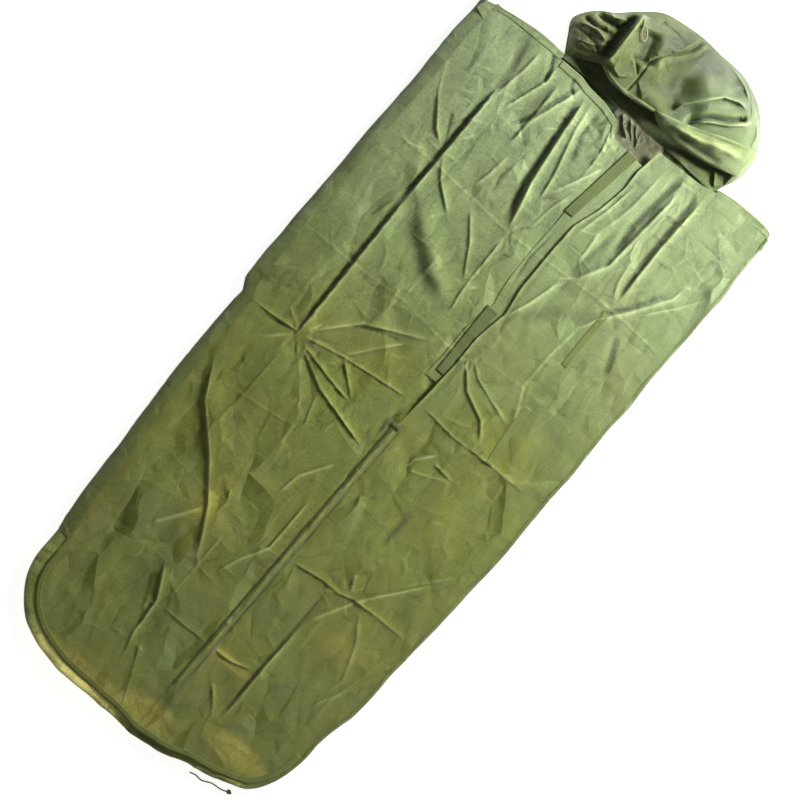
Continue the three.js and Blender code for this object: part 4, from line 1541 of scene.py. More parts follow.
@dataclass
class Walls:
    """The sides, the foot wall and the ground cloth."""

    finishes: Finishes
    front: FrontCloth
    ground_height: float = 0.001
    columns: int = 22

    def _section(self, q: Array) -> tuple[Array, Array]:
        """How far in from the edge and how high the half-round wall is at shares round it."""
        angle = math.pi * (q - 0.5)
        return 1 - np.cos(angle), (1 + np.sin(angle)) / 2

    def _side(self, left: bool) -> None:
        """One side wall, from the ground to the front's seam.

        Args:
            left: Whether it is the left wall.
        """
        rows = 420
        y = np.linspace(SHAPE.curve_y, SHAPE.top_y, rows)
        q = np.linspace(0, 1, self.columns)
        inward, height = self._section(q)
        inset = (SHAPE.left_inset if left else SHAPE.right_inset) - 0.001
        sign = -1 if left else 1
        x = sign * (SHAPE.half_width(y)[:, None] - 0.001 - inset * inward[None])
        plan = SHAPE.settle(np.stack([x, np.broadcast_to(y[:, None], x.shape)], -1))
        seam = self.front.surface(plan[:, -1])[:, 2]
        z = mix(self.ground_height, seam[:, None], height[None])
        middle = np.sin(math.pi * q)[None]
        girth = np.broadcast_to(q[None] * 0.06, x.shape)
        along = np.broadcast_to(y[:, None], x.shape)
        crease = Relief([
            Ripple(51 + left, 0.035, 0.0026, 3.0),
            Ripple(53 + left, 0.014, 0.0009, 4.0),
            Crumple(55 + left, 90, (0, -0.8), (0.06, 0.8), 0.09, 0.004, 0.0011),
        ]).rise(girth, along)
        z = z + crease * middle
        plan[..., 0] += sign * crease * middle * 0.6
        points = np.concatenate([plan, z[..., None]], -1)
        name = "side_left" if left else "side_right"
        flat = np.stack([girth, along], -1)
        # Painted shade: the fold value, lowered a little to darken the whole wall.
        fold = np.clip(shade_of(crease, 180, 60) - 0.04, 0, 1)
        piece = cloth_piece(name, points if left else points[:, ::-1], flat, fold)
        self.finishes.dress(piece, self.finishes.side, "side_cloth")
        side = "left" if left else "right"
        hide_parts(*(f"{side}_side_panel_{part}" for part in ("lower", "middle", "upper")))
        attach(piece, Body.SACK.value)
        area = area_of(points)
        report(piece, "side wall")

    def _foot(self) -> None:
        """The wall round the foot, which parts from the front's hem near the middle."""
        share = np.linspace(0.0006, 0.9994, 420)
        q = np.linspace(0, 1, self.columns)
        inward, height = self._section(q)
        height = 1 - (1 - height) ** 1.7
        inset = mix(SHAPE.left_inset, SHAPE.right_inset, share) - 0.001
        grid = SHAPE.foot_inside(
            np.broadcast_to(share[:, None], (len(share), len(q))),
            0.001 + inset[:, None] * inward[None],
        )
        plan = SHAPE.settle(grid)
        x = plan[..., 0]
        gape = np.exp(-(((x[:, -1] - 0.10) / 0.10) ** 4))
        seam = self.front.surface(plan[:, -1])[:, 2] - 0.0015 - 0.010 * gape
        z = mix(self.ground_height, seam[:, None], height[None])
        crease = Relief([
            Ripple(61, 0.05, 0.003), Ripple(62, 0.02, 0.0012),
            Crumple(63, 110, (0, -0.5), (0.06, 0.5), 0.07, 0.004, 0.0026),
        ])
        run = (share - 0.5)[:, None] * 1.1 + 0 * q[None]
        girth = q[None] * 0.06 + 0 * share[:, None]
        rise = crease.rise(girth, run) * np.sin(math.pi * q)[None]
        points = np.concatenate([plan, (z + rise)[..., None]], -1)
        # Left part of the foot wall: yellower cloth, and a raised fold value that paints light on a wall
        # facing away from the lamp.
        yellow_and_lit = np.exp(-(((x + 0.13) / 0.16) ** 4))
        stain_and_highlight = np.clip(0.5 + 0.5 * yellow_and_lit, 0, 1)
        piece = cloth_piece(
            "foot_wall", points, np.stack([girth, run], -1),
            np.clip(shade_of(rise, 180, 60) + 0.35 * yellow_and_lit, 0, 1), stain_and_highlight,
        )
        self.finishes.fit(piece, self.finishes.foot, "side_cloth", Body.SACK, "foot_panel")
        area = area_of(points)
        report(piece, "foot wall")

    def _ground(self) -> bpy.types.Object:
        """The ground cloth, nearly flat, with packing creases."""
        rows, columns = 300, 150
        v, t = np.linspace(0, 1, rows), np.linspace(0, 1, columns)
        y = mix(SHAPE.curve_y, SHAPE.shoulder_y, v)
        left = np.stack([SHAPE.left_seam(y), y], -1)
        right = np.stack([SHAPE.right_seam(y), y], -1)
        near = SHAPE.foot_rim(t)
        far = np.stack([mix(left[-1, 0], right[-1, 0], t), np.full(columns, y[-1])], -1)
        plan = SHAPE.settle(patch(left, right, near, far))
        relief = Relief([
            Ripple(71, 0.12, 0.0006),
            Crumple(72, 120, (-0.42, -1.0), (0.42, 0.8), 0.12, 0.006, 0.0004),
        ])
        rise = relief.rise(plan[..., 0], plan[..., 1])
        z = np.maximum(self.ground_height + rise, 0.0002)
        points = np.concatenate([plan, z[..., None]], -1)
        piece = cloth_piece("ground_cloth", points, plan, shade_of(rise, 400, 100))
        self.finishes.fit(piece, self.finishes.ground, "ground_cloth", Body.SACK, "ground_panel")
        min(area_of(plan), 0.89 * 1.89)
        report(piece, "ground cloth")
        return piece

    def build(self) -> None:
        """Builds every wall."""
        self._side(True)
        self._side(False)
        self._foot()
        self._ground()


# ---- Hems, tapes and closure ----


@dataclass
class Trim:
    """Everything sewn on the front: hems, plackets, hook-and-loop tapes, keepers and stitches."""

    finishes: Finishes
    front: FrontCloth
    hem_depth: float = 0.018
    placket_width: float = 0.038
    keeper_half: float = 0.0085
    hook_edges: Point = (0.005, 0.030)
    tack_half: float = 0.013

    def _stitch(self, name: str, lines: Sequence[Sequence[Point]], lift: float) -> bpy.types.Object:
        """Rows of stitches on the front, from plan paths.

        Args:
            name: The piece's name.
            lines: The plan path of each row.
            lift: How far the thread stands above the cloth.

        Returns:
            The stitches.
        """
        rows = []
        for line in lines:
            plan = along_path(line, 0.0042)
            rows.append(self.front.surface(plan) + np.array([0, 0, lift]))
        piece = stitching(name, rows)
        self.finishes.dress(piece, self.finishes.thread, "hem_cloth")
        return piece

    def _keepers(self) -> None:
        """Two short ribbed strips to the right of the opening."""
        places = {
            "keeper_upper": ((0.262, 0.4165), (0.2655, 0.256), "keeper_strip_upper"),
            "keeper_lower": ((0.2665, 0.1275), (0.2815, -0.0375), "keeper_strip_lower"),
        }
        for name, (top, bottom, node) in places.items():
            bow = 0.004 if name == "keeper_lower" else 0.001

            def middle(y: Array, top: Point = top, bottom: Point = bottom, bow: float = bow) -> Array:
                """The strip's middle line."""
                t = (y - bottom[1]) / (top[1] - bottom[1])
                return mix(bottom[0], top[0], t) - bow * np.sin(math.pi * t)

            piece = self.front.band(
                name,
                lambda y: middle(y) - self.keeper_half,
                lambda y: middle(y) + self.keeper_half,
                (bottom[1], top[1]),
                0.0013,
                0.0014,
            )
            self.finishes.fit(piece, self.finishes.keeper, "hook_and_loop", Body.SACK, node)
            y = np.linspace(bottom[1], top[1], 12)
            rim = [list(zip(middle(y) + side, y, strict=True)) for side in (-0.0065, 0.0065)]
            stitches = self._stitch(f"{name}_stitches", rim, 0.0021)
            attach(stitches, Body.SACK.value)
            report(piece, "keeper strip")

    def _closure(self) -> None:
        """Left placket with loop tapes on top, right placket with hook tapes beneath, and the bar tack."""
        line = self.front.line_x

        def far_edge(y: Array) -> Array:
            """The left placket's far edge, which turns away near the collar."""
            return line(y) - self.placket_width - 0.012 * np.clip((y - 0.5) / 0.2, 0, 1)

        placket = self.front.band(
            "placket_left", far_edge, lambda y: line(y) - 0.001, (0.03, 0.738), 0.0008, 0.0012, 16
        )
        self.finishes.dress(placket, self.finishes.hem, "hem_cloth")
        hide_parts("left_placket")
        fold_sheet(placket, True)
        report(placket, "left placket")
        strips = {
            "loop_tape_upper": ((0.0395, 0.537), (0.066, 0.742), "loop_strip_upper"),
            "loop_tape_lower": ((0.052, 0.055), (0.0515, 0.252), "loop_strip_lower"),
        }
        for name, (bottom, top, node) in strips.items():
            half = np.array([0.0125, 0.0148]) if "upper" in name else np.array([0.011, 0.0165])

            def edge(
                y: Array, side: int, bottom: Point = bottom, top: Point = top, half: Array = half,
            ) -> Array:
                """One edge of the tape."""
                t = (y - bottom[1]) / (top[1] - bottom[1])
                return mix(bottom[0], top[0], t) + side * mix(half[0], half[1], t)

            tape = self.front.band(
                name,
                lambda y: edge(y, -1),
                lambda y: edge(y, 1),
                (bottom[1], top[1]),
                0.0024,
                0.0018,
                10,
            )
            self.finishes.dress(tape, self.finishes.ribbed, "hook_and_loop")
            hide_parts(node)
            fold_sheet(tape, True)
            y = np.linspace(bottom[1] + 0.002, top[1] - 0.002, 14)
            rim = [list(zip(edge(y, s) - s * 0.002, y, strict=True)) for s in (-1, 1)]
            ends = [
                [(float(edge(np.array(v), -1)) + 0.002, v), (float(edge(np.array(v), 1)) - 0.002, v)]
                for v in (bottom[1] + 0.002, top[1] - 0.002)
            ]
            stitches = self._stitch(f"{name}_stitches", [*rim, *ends], 0.0026)
            fold_sheet(stitches, True)
            report(tape, "loop tape")
        placket = self.front.band(
            "placket_right",
            lambda y: line(y) + 0.001,
            lambda y: line(y) + 0.036,
            (0.06, 0.715),
            -0.0012,
            0.0012,
            10,
        )
        self.finishes.dress(placket, self.finishes.hem, "hem_cloth")
        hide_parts("right_placket")
        fold_sheet(placket, False)
        for name, (low, high), node in (
            ("hook_tape_upper", (0.513, 0.713), "hook_strip_upper"),
            ("hook_tape_lower", (0.065, 0.25), "hook_strip_lower"),
        ):
            tape = self.front.band(
                name,
                lambda y: line(y) + self.hook_edges[0],
                lambda y: line(y) + self.hook_edges[1],
                (low, high),
                -0.0027,
                0.0012,
            )
            self.finishes.dress(tape, self.finishes.ribbed, "hook_and_loop")
            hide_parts(node)
            fold_sheet(tape, False)
            report(tape, "hook tape")
        tack = self.front.band(
            "bar_tack",
            lambda y: line(y) - self.tack_half,
            lambda y: line(y) + self.tack_half,
            (-0.112, -0.102),
            0.0034,
            0.0016,
        )
        self.finishes.fit(tack, self.finishes.thread, "hem_cloth", Body.SACK, "opening_bar_tack")
        report(tack, "bar tack")

    def _collar(self) -> None:
        """Turned hems along the collar, each stitched twice."""
        for left_half in (True, False):
            collar = np.array(self.front.collar_left if left_half else self.front.collar_right)
            low, high = (-0.205, 0.0) if left_half else (0.112, 0.262)
            x = np.linspace(low, high, 70)
            y = np.interp(x, collar[:, 0], collar[:, 1])
            depth = np.linspace(1, 0, 7)
            grid = np.stack(
                [np.broadcast_to(x[None], (7, 70)), y[None] - 0.0005 - depth[:, None] * self.hem_depth],
                -1,
            )
            top = self.front.surface(grid) + np.array([0, 0, 0.0009])
            side = "left" if left_half else "right"
            piece = slab_piece(f"collar_hem_{side}", top, 0.0014, grid, shade_of(top[..., 2], 120, 30))
            self.finishes.dress(piece, self.finishes.hem, "hem_cloth")
            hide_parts(f"{side}_collar_hem")
            fold_sheet(piece, left_half)
            rows = [list(zip(x, y - inset, strict=True)) for inset in (0.004, 0.0155)]
            stitches = self._stitch(f"collar_stitches_{side}", rows, 0.0011)
            fold_sheet(stitches, left_half)
            report(piece, "collar hem")

    def _seams(self) -> None:
        """Stitches of the centre seam and of the side seams."""
        y = np.linspace(-1.035, -0.115, 60)
        line = self.front.line_x(y)
        rows = [list(zip(line + side, y, strict=True)) for side in (-0.0048, 0.0048)]
        piece = self._stitch("centre_seam_stitches", rows, 0.0030)
        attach(piece, Body.SACK.value)
        report(piece, "stitches")
        y = np.linspace(SHAPE.curve_y, 0.79, 90)
        for name, x in (
            ("left_seam_stitches", SHAPE.left_seam(y) + 0.003),
            ("right_seam_stitches", SHAPE.right_seam(y) - 0.003),
        ):
            plan = SHAPE.settle(np.stack([x, y], -1))
            piece = self._stitch(name, [plan.tolist()], 0.0002)
            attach(piece, Body.SACK.value)
            report(piece, "stitches")

    def _tapes(self) -> None:
        """Sealing tapes under the front's seams."""
        left, right = SHAPE.left_seam, SHAPE.right_seam
        seam = self.front.line_x
        tapes = (
            (
                "seal_left", lambda y: left(y) + 0.002, lambda y: left(y) + 0.012, (-0.80, 0.795),
                "left_seam_tape",
            ),
            (
                "seal_right", lambda y: right(y) - 0.012, lambda y: right(y) - 0.002, (-0.80, 0.795),
                "right_seam_tape",
            ),
            (
                "seal_centre", lambda y: seam(y) - 0.010, lambda y: seam(y) + 0.010, (-1.01, -0.112),
                "centre_seam_tape",
            ),
        )
        for name, low, high, reach, node in tapes:
            piece = self.front.band(name, low, high, reach, -0.0012, 0.0006, 5)
            self.finishes.fit(piece, self.finishes.tape, "seam_tape", Body.SACK, node)
            report(piece, "seam seal")

    def _foot_hem(self) -> None:
        """The hem round the front's foot end, with two rows of stitches, and its seal beneath."""
        share = np.linspace(0.03, 0.97, 260)
        depth = np.linspace(-0.003, 0.012, 7)
        inset = mix(SHAPE.left_inset, SHAPE.right_inset, share)
        grid = SHAPE.foot_inside(np.broadcast_to(share[None], (7, 260)), inset[None] + depth[:, None])
        plan = SHAPE.settle(grid)
        lip = np.where(depth < 0, -0.0012, 0)[:, None]
        for name, lift, thick, finish, slot, node in (
            ("foot_hem_band", 0.0012, 0.0018, self.finishes.hem, "hem_cloth", "foot_hem"),
            ("seal_foot", -0.0012, 0.0006, self.finishes.tape, "seam_tape", "foot_seam_tape"),
        ):
            top = self.front.surface(plan) + np.array([0, 0, lift])
            top[..., 2] += lip
            rows = top if name == "foot_hem_band" else top[2:]
            flat = plan if name == "foot_hem_band" else plan[2:]
            piece = slab_piece(name, rows[::-1], thick, flat[::-1], shade_of(rows[::-1, :, 2], 120, 30))
            self.finishes.fit(piece, finish, slot, Body.SACK, node)
            report(piece, "foot hem")
        lines = []
        for row in (2, 5):
            lines.append(plan[row, ::10].tolist())
        stitches = self._stitch("foot_hem_stitches", lines, 0.0015)
        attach(stitches, Body.SACK.value)

    def build(self) -> None:
        """Builds all trim."""
        self._keepers()
        self._closure()
        self._collar()
        self._seams()
        self._tapes()
        self._foot_hem()


# ---- Shoulders and neck ----


@dataclass
class Neck:
    """Closed shoulder edges, the neck's lining and its tape."""

    finishes: Finishes
    front: FrontCloth
    left_edge: tuple[Point, ...] = (
        (-0.445, 0.772), (-0.440, 0.790), (-0.431, 0.801), (-0.356, 0.8165), (-0.281, 0.824),
        (-0.2135, 0.8205),
    )
    right_edge: tuple[Point, ...] = (
        (0.274, 0.8135), (0.319, 0.8205), (0.390, 0.822), (0.430, 0.8165), (0.440, 0.795), (0.446, 0.770),
    )

    def _shoulder(self, left: bool) -> None:
        """One closed shoulder edge, rolled from the front down to the ground.

        Args:
            left: Whether it is the left edge.
        """
        line = along_path(self.left_edge if left else self.right_edge, 0.003)
        q = np.linspace(0, 1, 16)
        x = line[:, 0]
        inner_y = np.minimum(line[:, 1] - 0.012, 0.803)
        inner = np.stack([np.clip(x, -0.413, 0.437), inner_y], -1)
        top = self.front.surface(inner)[:, 2] + 0.0014
        run = np.clip(q / 0.55, 0, 1)[None]
        drop = np.clip((q - 0.35) / 0.65, 0, 1)[None]
        plan = mix(inner[:, None], line[:, None], (np.sin(run * math.pi / 2))[..., None])
        z = mix(top[:, None], 0.0012, drop**2 * (3 - 2 * drop))
        wave = Ripple(81 + left, 0.03, 0.0016).rise(plan[..., 0], plan[..., 1] * 3)
        points = np.concatenate([plan, (z + wave * np.sin(math.pi * q)[None])[..., None]], -1)
        name = "shoulder_left" if left else "shoulder_right"
        piece = cloth_piece(name, points[::-1], plan[::-1], shade_of(wave[::-1], 160, 60))
        self.finishes.fit(
            piece,
            self.finishes.hem,
            "hem_cloth",
            Body.SACK,
            "left_shoulder_hem" if left else "right_shoulder_hem",
        )
        length = float(np.linalg.norm(np.diff(line[:, :2], axis=0), axis=1).sum())
        area_of(points) / length
        rows = [points[:, k] + np.array([0, 0, 0.0006]) for k in (4, 7)]
        stitches = stitching(f"{name}_stitches", rows, 0.003)
        self.finishes.dress(stitches, self.finishes.thread, "hem_cloth")
        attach(stitches, Body.SACK.value)
        report(piece, "shoulder edge")

    def _lining(self) -> None:
        """The crinkled lining that shows in the neck, and the tape behind it."""
        rows, columns = 90, 130
        x = np.linspace(-0.045, 0.125, columns)[None] + np.zeros((rows, 1))
        y = np.linspace(0.700, 0.822, rows)[:, None] + np.zeros((1, columns))
        relief = Relief([
            Ripple(91, 0.035, 0.005),
            Ripple(92, 0.012, 0.0022),
            Crumple(93, 60, (-0.04, 0.70), (0.12, 0.82), 0.05, 0.004, 0.003),
            *folds(
                (P, 6, 5.8, 0.2, (-20, 810), (0, 785), (35, 760)),
                (P, 5, 5.5, 0.2, (0, 815), (20, 790), (45, 765)),
                (P, 5, 5, 0.2, (20, 815), (35, 790), (55, 770)),
                (P, 5, 4.5, 0.2, (45, 810), (50, 780), (62, 755)),
            ),
        ])
        rise = relief.rise(x, y)
        edge = np.minimum(np.minimum(x + 0.045, 0.125 - x) / 0.02, np.minimum(y - 0.70, 0.822 - y) / 0.02)
        z = 0.004 + np.maximum(0.017 + rise, 0.0) * np.clip(edge, 0, 1)
        points = np.stack([x, y, z], -1)
        piece = cloth_piece(
            "neck_lining_cloth", points, points[..., :2], shade_of(z, 160, 40), np.full(x.shape, 0.52)
        )
        self.finishes.fit(piece, self.finishes.lining, "lining_cloth", Body.SACK, "neck_lining")
        report(piece, "neck lining")
        x = np.linspace(-0.214, 0.268, 120)
        v = np.linspace(0.7955, 0.8135, 5)
        grid = np.stack(np.meshgrid(x, v), -1)
        top = np.concatenate([grid, np.full((5, 120, 1), 0.0034)], -1)
        piece = slab_piece("neck_seal", top, 0.0008, grid)
        self.finishes.fit(piece, self.finishes.tape, "seam_tape", Body.SACK, "neck_seam_tape")
        report(piece, "neck seal")

    def build(self) -> None:
        """Builds the shoulders and the neck."""
        self._shoulder(True)
        self._shoulder(False)
        self._lining()


# ---- Hood ----


@dataclass
class Hood:
    """The full hood: two halves joined by a puckered seam, a rolled brim, a back and a loop."""

    finishes: Finishes
    outline: tuple[Point, ...] = (
        (-0.2135, 0.824), (-0.236, 0.862), (-0.255, 0.899), (-0.243, 0.931), (-0.2175, 0.959),
        (-0.188, 0.978), (-0.166, 0.998), (-0.131, 1.030), (-0.091, 1.056), (-0.028, 1.067),
        (0.019, 1.070), (0.067, 1.067), (0.138, 1.064), (0.185, 1.049), (0.225, 1.026), (0.256, 0.994),
        (0.280, 0.959), (0.292, 0.935), (0.2975, 0.903), (0.292, 0.860), (0.276, 0.826),
    )
    rim: tuple[Place, ...] = (
        (-0.205, 0.826, 0.006), (-0.18, 0.838, 0.020), (-0.15, 0.848, 0.036), (-0.126, 0.855, 0.050),
        (-0.088, 0.840, 0.054), (-0.045, 0.838, 0.054), (-0.012, 0.842, 0.053), (0.038, 0.851, 0.050),
        (0.075, 0.862, 0.050), (0.147, 0.884, 0.050), (0.206, 0.906, 0.046), (0.26, 0.905, 0.030),
        (0.276, 0.845, 0.006),
    )
    seam: tuple[Point, ...] = (
        (-0.045, 0.842), (-0.043, 0.880), (-0.047, 0.935), (-0.034, 0.962), (-0.019, 0.984),
        (0.007, 1.018), (0.023, 1.068),
    )
    peak: float = 0.058
    seam_share: float = 0.46
    # Painted shadows on the hood: centre across and along, reach across and along, and how much each
    # darkens the fold value.
    shadows: tuple[tuple[float, float, float, float, float], ...] = (
        (-0.155, 0.975, 0.035, 0.05, 0.34), (-0.075, 0.965, 0.03, 0.07, 0.30),
        (-0.02, 0.895, 0.04, 0.035, 0.34), (0.03, 0.935, 0.045, 0.05, 0.28),
        (0.07, 0.90, 0.03, 0.025, 0.30), (0.10, 1.035, 0.11, 0.035, 0.40), (0.19, 1.01, 0.05, 0.03, 0.2),
        (0.0, 1.05, 0.03, 0.02, 0.2), (-0.145, 0.88, 0.02, 0.04, 0.30),
        (-0.02, 1.005, 0.045, 0.045, 0.40), (0.05, 1.03, 0.05, 0.03, 0.30),
        (0.165, 0.942, 0.03, 0.02, 0.28), (-0.18, 0.905, 0.05, 0.045, 0.20),
    )

    def _relief(self) -> Relief:
        """Folds of the hood's cloth."""
        return Relief([
            Fold(self.seam, 0.005, -0.006, S, 0.05),
            *folds(
                # Front fold with its point, steep towards the left.
                (P, 12, 22, 0.12, (-131, 1022), (-124, 947), (-121, 884), (-124, 857)),
                (R, 12, -26, 0.2, (-145, 1010), (-142, 947), (-136, 860)),
                (S, 3.5, 3.5, 0.15, (-116, 968), (-116.5, 930), (-118, 882)),
                (P, 8, 6, 0.2, (-127, 1018), (-112, 985), (-102, 972)),
                # Crevices in the crumpled left side.
                (R, 8, -20, 0.2, (-222, 955), (-190, 948), (-165, 953), (-135, 962)),
                (P, 9, 13, 0.25, (-200, 972), (-180, 962), (-140, 985)),
                (R, 7, -14, 0.25, (-245, 925), (-200, 918), (-140, 930)),
                (P, 7, 11, 0.25, (-235, 905), (-190, 912), (-150, 900)),
                (S, 6, -6, 0.25, (-245, 890), (-200, 890), (-150, 880)),
                (P, 8, 6, 0.25, (-225, 865), (-180, 875), (-140, 905)),
                (S, 7, -5, 0.25, (-210, 845), (-170, 862), (-135, 885)),
                # Centre seam and the ridge beside it.
                (R, 7, 7, 0.12, (-34, 935), (-24, 962), (1, 990), (22, 1020), (32, 1066)),
                (P, 6, 8, 0.15, (-20, 985), (-5, 1010), (8, 1045), (12, 1066)),
                (R, 5, 5, 0.3, (-40, 930), (-22, 945), (-25, 925)),
                # Dark triangle between the front fold and the seam, with its light facet.
                (P, 7, -9, 0.2, (-92, 930), (-66, 905), (-45, 885)),
                (R, 24, -22, 0.2, (-90, 1000), (-75, 960), (-60, 910)),
                (P, 6, 5, 0.25, (-115, 868), (-80, 858), (-50, 880)),
                (P, 8, 4, 0.25, (-40, 880), (-10, 858), (0, 850)),
                (S, 6, -4, 0.25, (-100, 1035), (-40, 1035), (0, 1025)),
                # Big dome: hollow, rolled lobe and bright bands.
                (R, 42, -28, 0.48, (-30, 900), (40, 930), (110, 975)),
                (P, 10, 19, 0.15, (69, 878), (78, 905), (108, 940), (140, 980), (175, 996), (205, 1000)),
                (R, 18, 12, 0.4, (100, 900), (128, 930), (160, 965), (195, 985)),
                (R, 7, -24, 0.15, (214, 991), (209, 974), (180, 945), (147, 924), (117, 895), (108, 872)),
                (P, 10, 14, 0.2, (119, 886), (152, 912), (193, 938), (222, 965), (232, 985)),
                (S, 4, -4, 0.15, (147, 1060), (189, 1033), (214, 1000), (222, 980)),
                (R, 30, 4, 0.3, (40, 1045), (90, 1030), (140, 1030)),
                (R, 50, -18, 0.48, (20, 1065), (30, 980), (20, 880)),
                (R, 35, 12, 0.45, (150, 1045), (210, 990), (240, 920)),
                (P, 12, 10, 0.3, (100, 1062), (160, 1042), (200, 1015)),
                (P, 12, 6, 0.3, (240, 1000), (262, 965), (270, 930)),
                (R, 14, 6, 0.3, (-30, 870), (20, 872), (60, 865)),
            ),
            Ripple(101, 0.06, 0.003),
            Ripple(102, 0.025, 0.0009),
            Crumple(103, 60, (-0.25, 0.83), (-0.12, 1.0), 0.06, 0.004, 0.003),
            Crumple(104, 50, (-0.12, 0.85), (0.0, 1.05), 0.05, 0.004, 0.0018),
            Crumple(105, 30, (0.0, 0.85), (0.28, 1.05), 0.06, 0.004, 0.0008),
        ])

    def _rows(self, share: Array, v: Array) -> tuple[Array, Array, Array]:
        """Plan and height of the smooth hood at shares round it (columns) and down it (rows).

        Args:
            share: Shares round the hood, from its left end to its right.
            v: Shares down it, from the rim to the ground.

        Returns:
            Places across and along the sack, and heights.
        """
        outline = along_path(self.outline, 0.002)
        rim = along_path(self.rim, 0.002)
        seam = along_path(self.seam, 0.002)
        split = np.array([0, self.seam_share, 1])
        out_seam = np.argmin(np.hypot(*(outline - seam[-1]).T)) / (len(outline) - 1)
        rim_seam = np.argmin(np.hypot(*(rim[:, :2] - seam[0]).T)) / (len(rim) - 1)
        outer = place_on(outline, np.interp(share, split, [0, out_seam, 1]))
        inner = place_on(rim, np.interp(share, split, [0, rim_seam, 1]))
        straight = mix(inner[None, :, :2], outer[None], v[:, None, None])
        chord = mix(seam[0], seam[-1], v[:, None])
        bend = (place_on(seam, v) - chord)[:, None]
        near = np.exp(-(((share - self.seam_share) / 0.16) ** 2))[None, :, None]
        plan = straight + bend * near
        w = 1 - v[:, None]
        bow = np.clip(np.sin(math.pi * share), 0, 1)[None] ** 0.55
        crest = self.peak * 1.36 * bow
        vv = v[:, None]
        z = (
            inner[None, :, 2] * w**3
            + 3 * crest * w * w * vv
            + 3 * crest * 0.74 * w * vv * vv
            + 0.003 * vv**3
        )
        return plan[..., 0], plan[..., 1], z

    def _half(self, left: bool) -> None:
        """One half of the hood's dome.

        Args:
            left: Whether it is the left half.
        """
        relief = self._relief()
        columns, rows = (190, 150) if left else (230, 170)
        ends = (0.0, self.seam_share) if left else (self.seam_share, 1.0)
        share = np.linspace(*ends, columns)
        v = np.linspace(0, 1, rows)
        x, y, z = self._rows(share, v)
        rise = relief.rise(x, y)
        edge = np.clip((1 - v[:, None]) / 0.10, 0, 1) * np.clip(
            np.minimum(share, 1 - share)[None] / 0.03, 0, 1
        )
        lip = np.clip(v[:, None] / 0.04, 0.25, 1)
        z = np.maximum(z + rise * edge * lip, 0.0032)
        z = np.minimum(z, CAD_BOX[1][2] - 0.001)
        points = np.stack([x, y, z], -1)
        name = "hood_left" if left else "hood_right"
        # Painted shade: the fold value, darker in hollows and lighter on ridges, and darker again at each
        # painted shadow.
        shaded = np.zeros_like(x)
        for cx, cy, rx, ry, amount in self.shadows:
            shaded += amount * np.exp(-(((x - cx) / rx) ** 2) - ((y - cy) / ry) ** 2)
        fold = np.clip(shade_of(rise * edge, 110, 40) - shaded, 0.02, 1)
        # Painted highlight: towards the hood's right, its lit side, the stain value falls and the cloth
        # turns paler.
        stain_and_highlight = 0.45 - 0.45 * np.clip((x - 0.02) / 0.2, 0, 1)
        piece = cloth_piece(
            name, points[:, ::-1], np.stack([x, y + 0.4 * z], -1)[:, ::-1], fold[:, ::-1], stain_and_highlight[:, ::-1],
        )
        self.finishes.dress(piece, self.finishes.hood, "hood_cloth")
        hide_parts("hood_left_panel" if left else "hood_right_panel")
        self._hinge(piece)
        area = area_of(points)
        report(piece, "half of the hood")

    @staticmethod
    def _hinge(piece: bpy.types.Object) -> None:
        """Bakes a piece's transform; nothing bends where the hood is sewn to the neck."""
        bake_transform(piece)

    def _back(self) -> None:
        """The hood's back, which lies on the ground and comes up to the neck's seam."""
        rows, columns = 150, 230
        outline = along_path(self.outline, 0.002)
        t = np.linspace(0, 1, columns)
        far = place_on(outline, t)
        neck_x = mix(-0.2135, 0.270, t)
        near = np.stack(
            [
                neck_x,
                np.interp(neck_x, [-0.21, -0.12, 0.0, 0.1, 0.27], [0.812, 0.796, 0.785, 0.782, 0.795]),
            ],
            -1,
        )
        v = np.linspace(0, 1, rows)[:, None, None]
        plan = near[None] * (1 - v) + mix(near, far, 0.992)[None] * v
        x, y = plan[..., 0], plan[..., 1]
        relief = Relief([
            Ripple(111, 0.05, 0.004),
            Ripple(112, 0.018, 0.0012),
            Crumple(113, 50, (-0.2, 0.79), (0.26, 0.86), 0.06, 0.005, 0.0016),
            *folds(
                (P, 6, 5, 0.2, (-200, 815), (-120, 812), (-20, 808)),
                (P, 5, 4, 0.2, (50, 800), (130, 806), (250, 802)),
                (R, 10, 5, 0.3, (80, 822), (150, 815), (240, 825)),
                (P, 8, 12, 0.2, (235, 850), (250, 830), (262, 812)),
            ),
        ])
        edge = np.clip((1 - v[..., 0]) / 0.1, 0, 1) * np.clip(v[..., 0] / 0.02, 0, 1)
        bulge = 0.010 * np.exp(-(((v[..., 0] - 0.12) / 0.12) ** 2))
        z = 0.0042 + np.maximum(bulge + relief.rise(x, y), 0) * edge
        points = np.stack([x, y, z], -1)
        # Painted shadow: the fold value is scaled by 0.55 to darken the back under the rim.
        piece = cloth_piece(
            "hood_back", points[:, ::-1], plan[:, ::-1], (shade_of(z, 130, 40) * 0.55)[:, ::-1],
            np.full(x.shape, 0.42),
        )
        self.finishes.dress(piece, self.finishes.hood, "hood_cloth")
        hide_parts("hood_back_panel")
        self._hinge(piece)
        min(area_of(plan), 0.56 * 0.28)
        report(piece, "hood back")

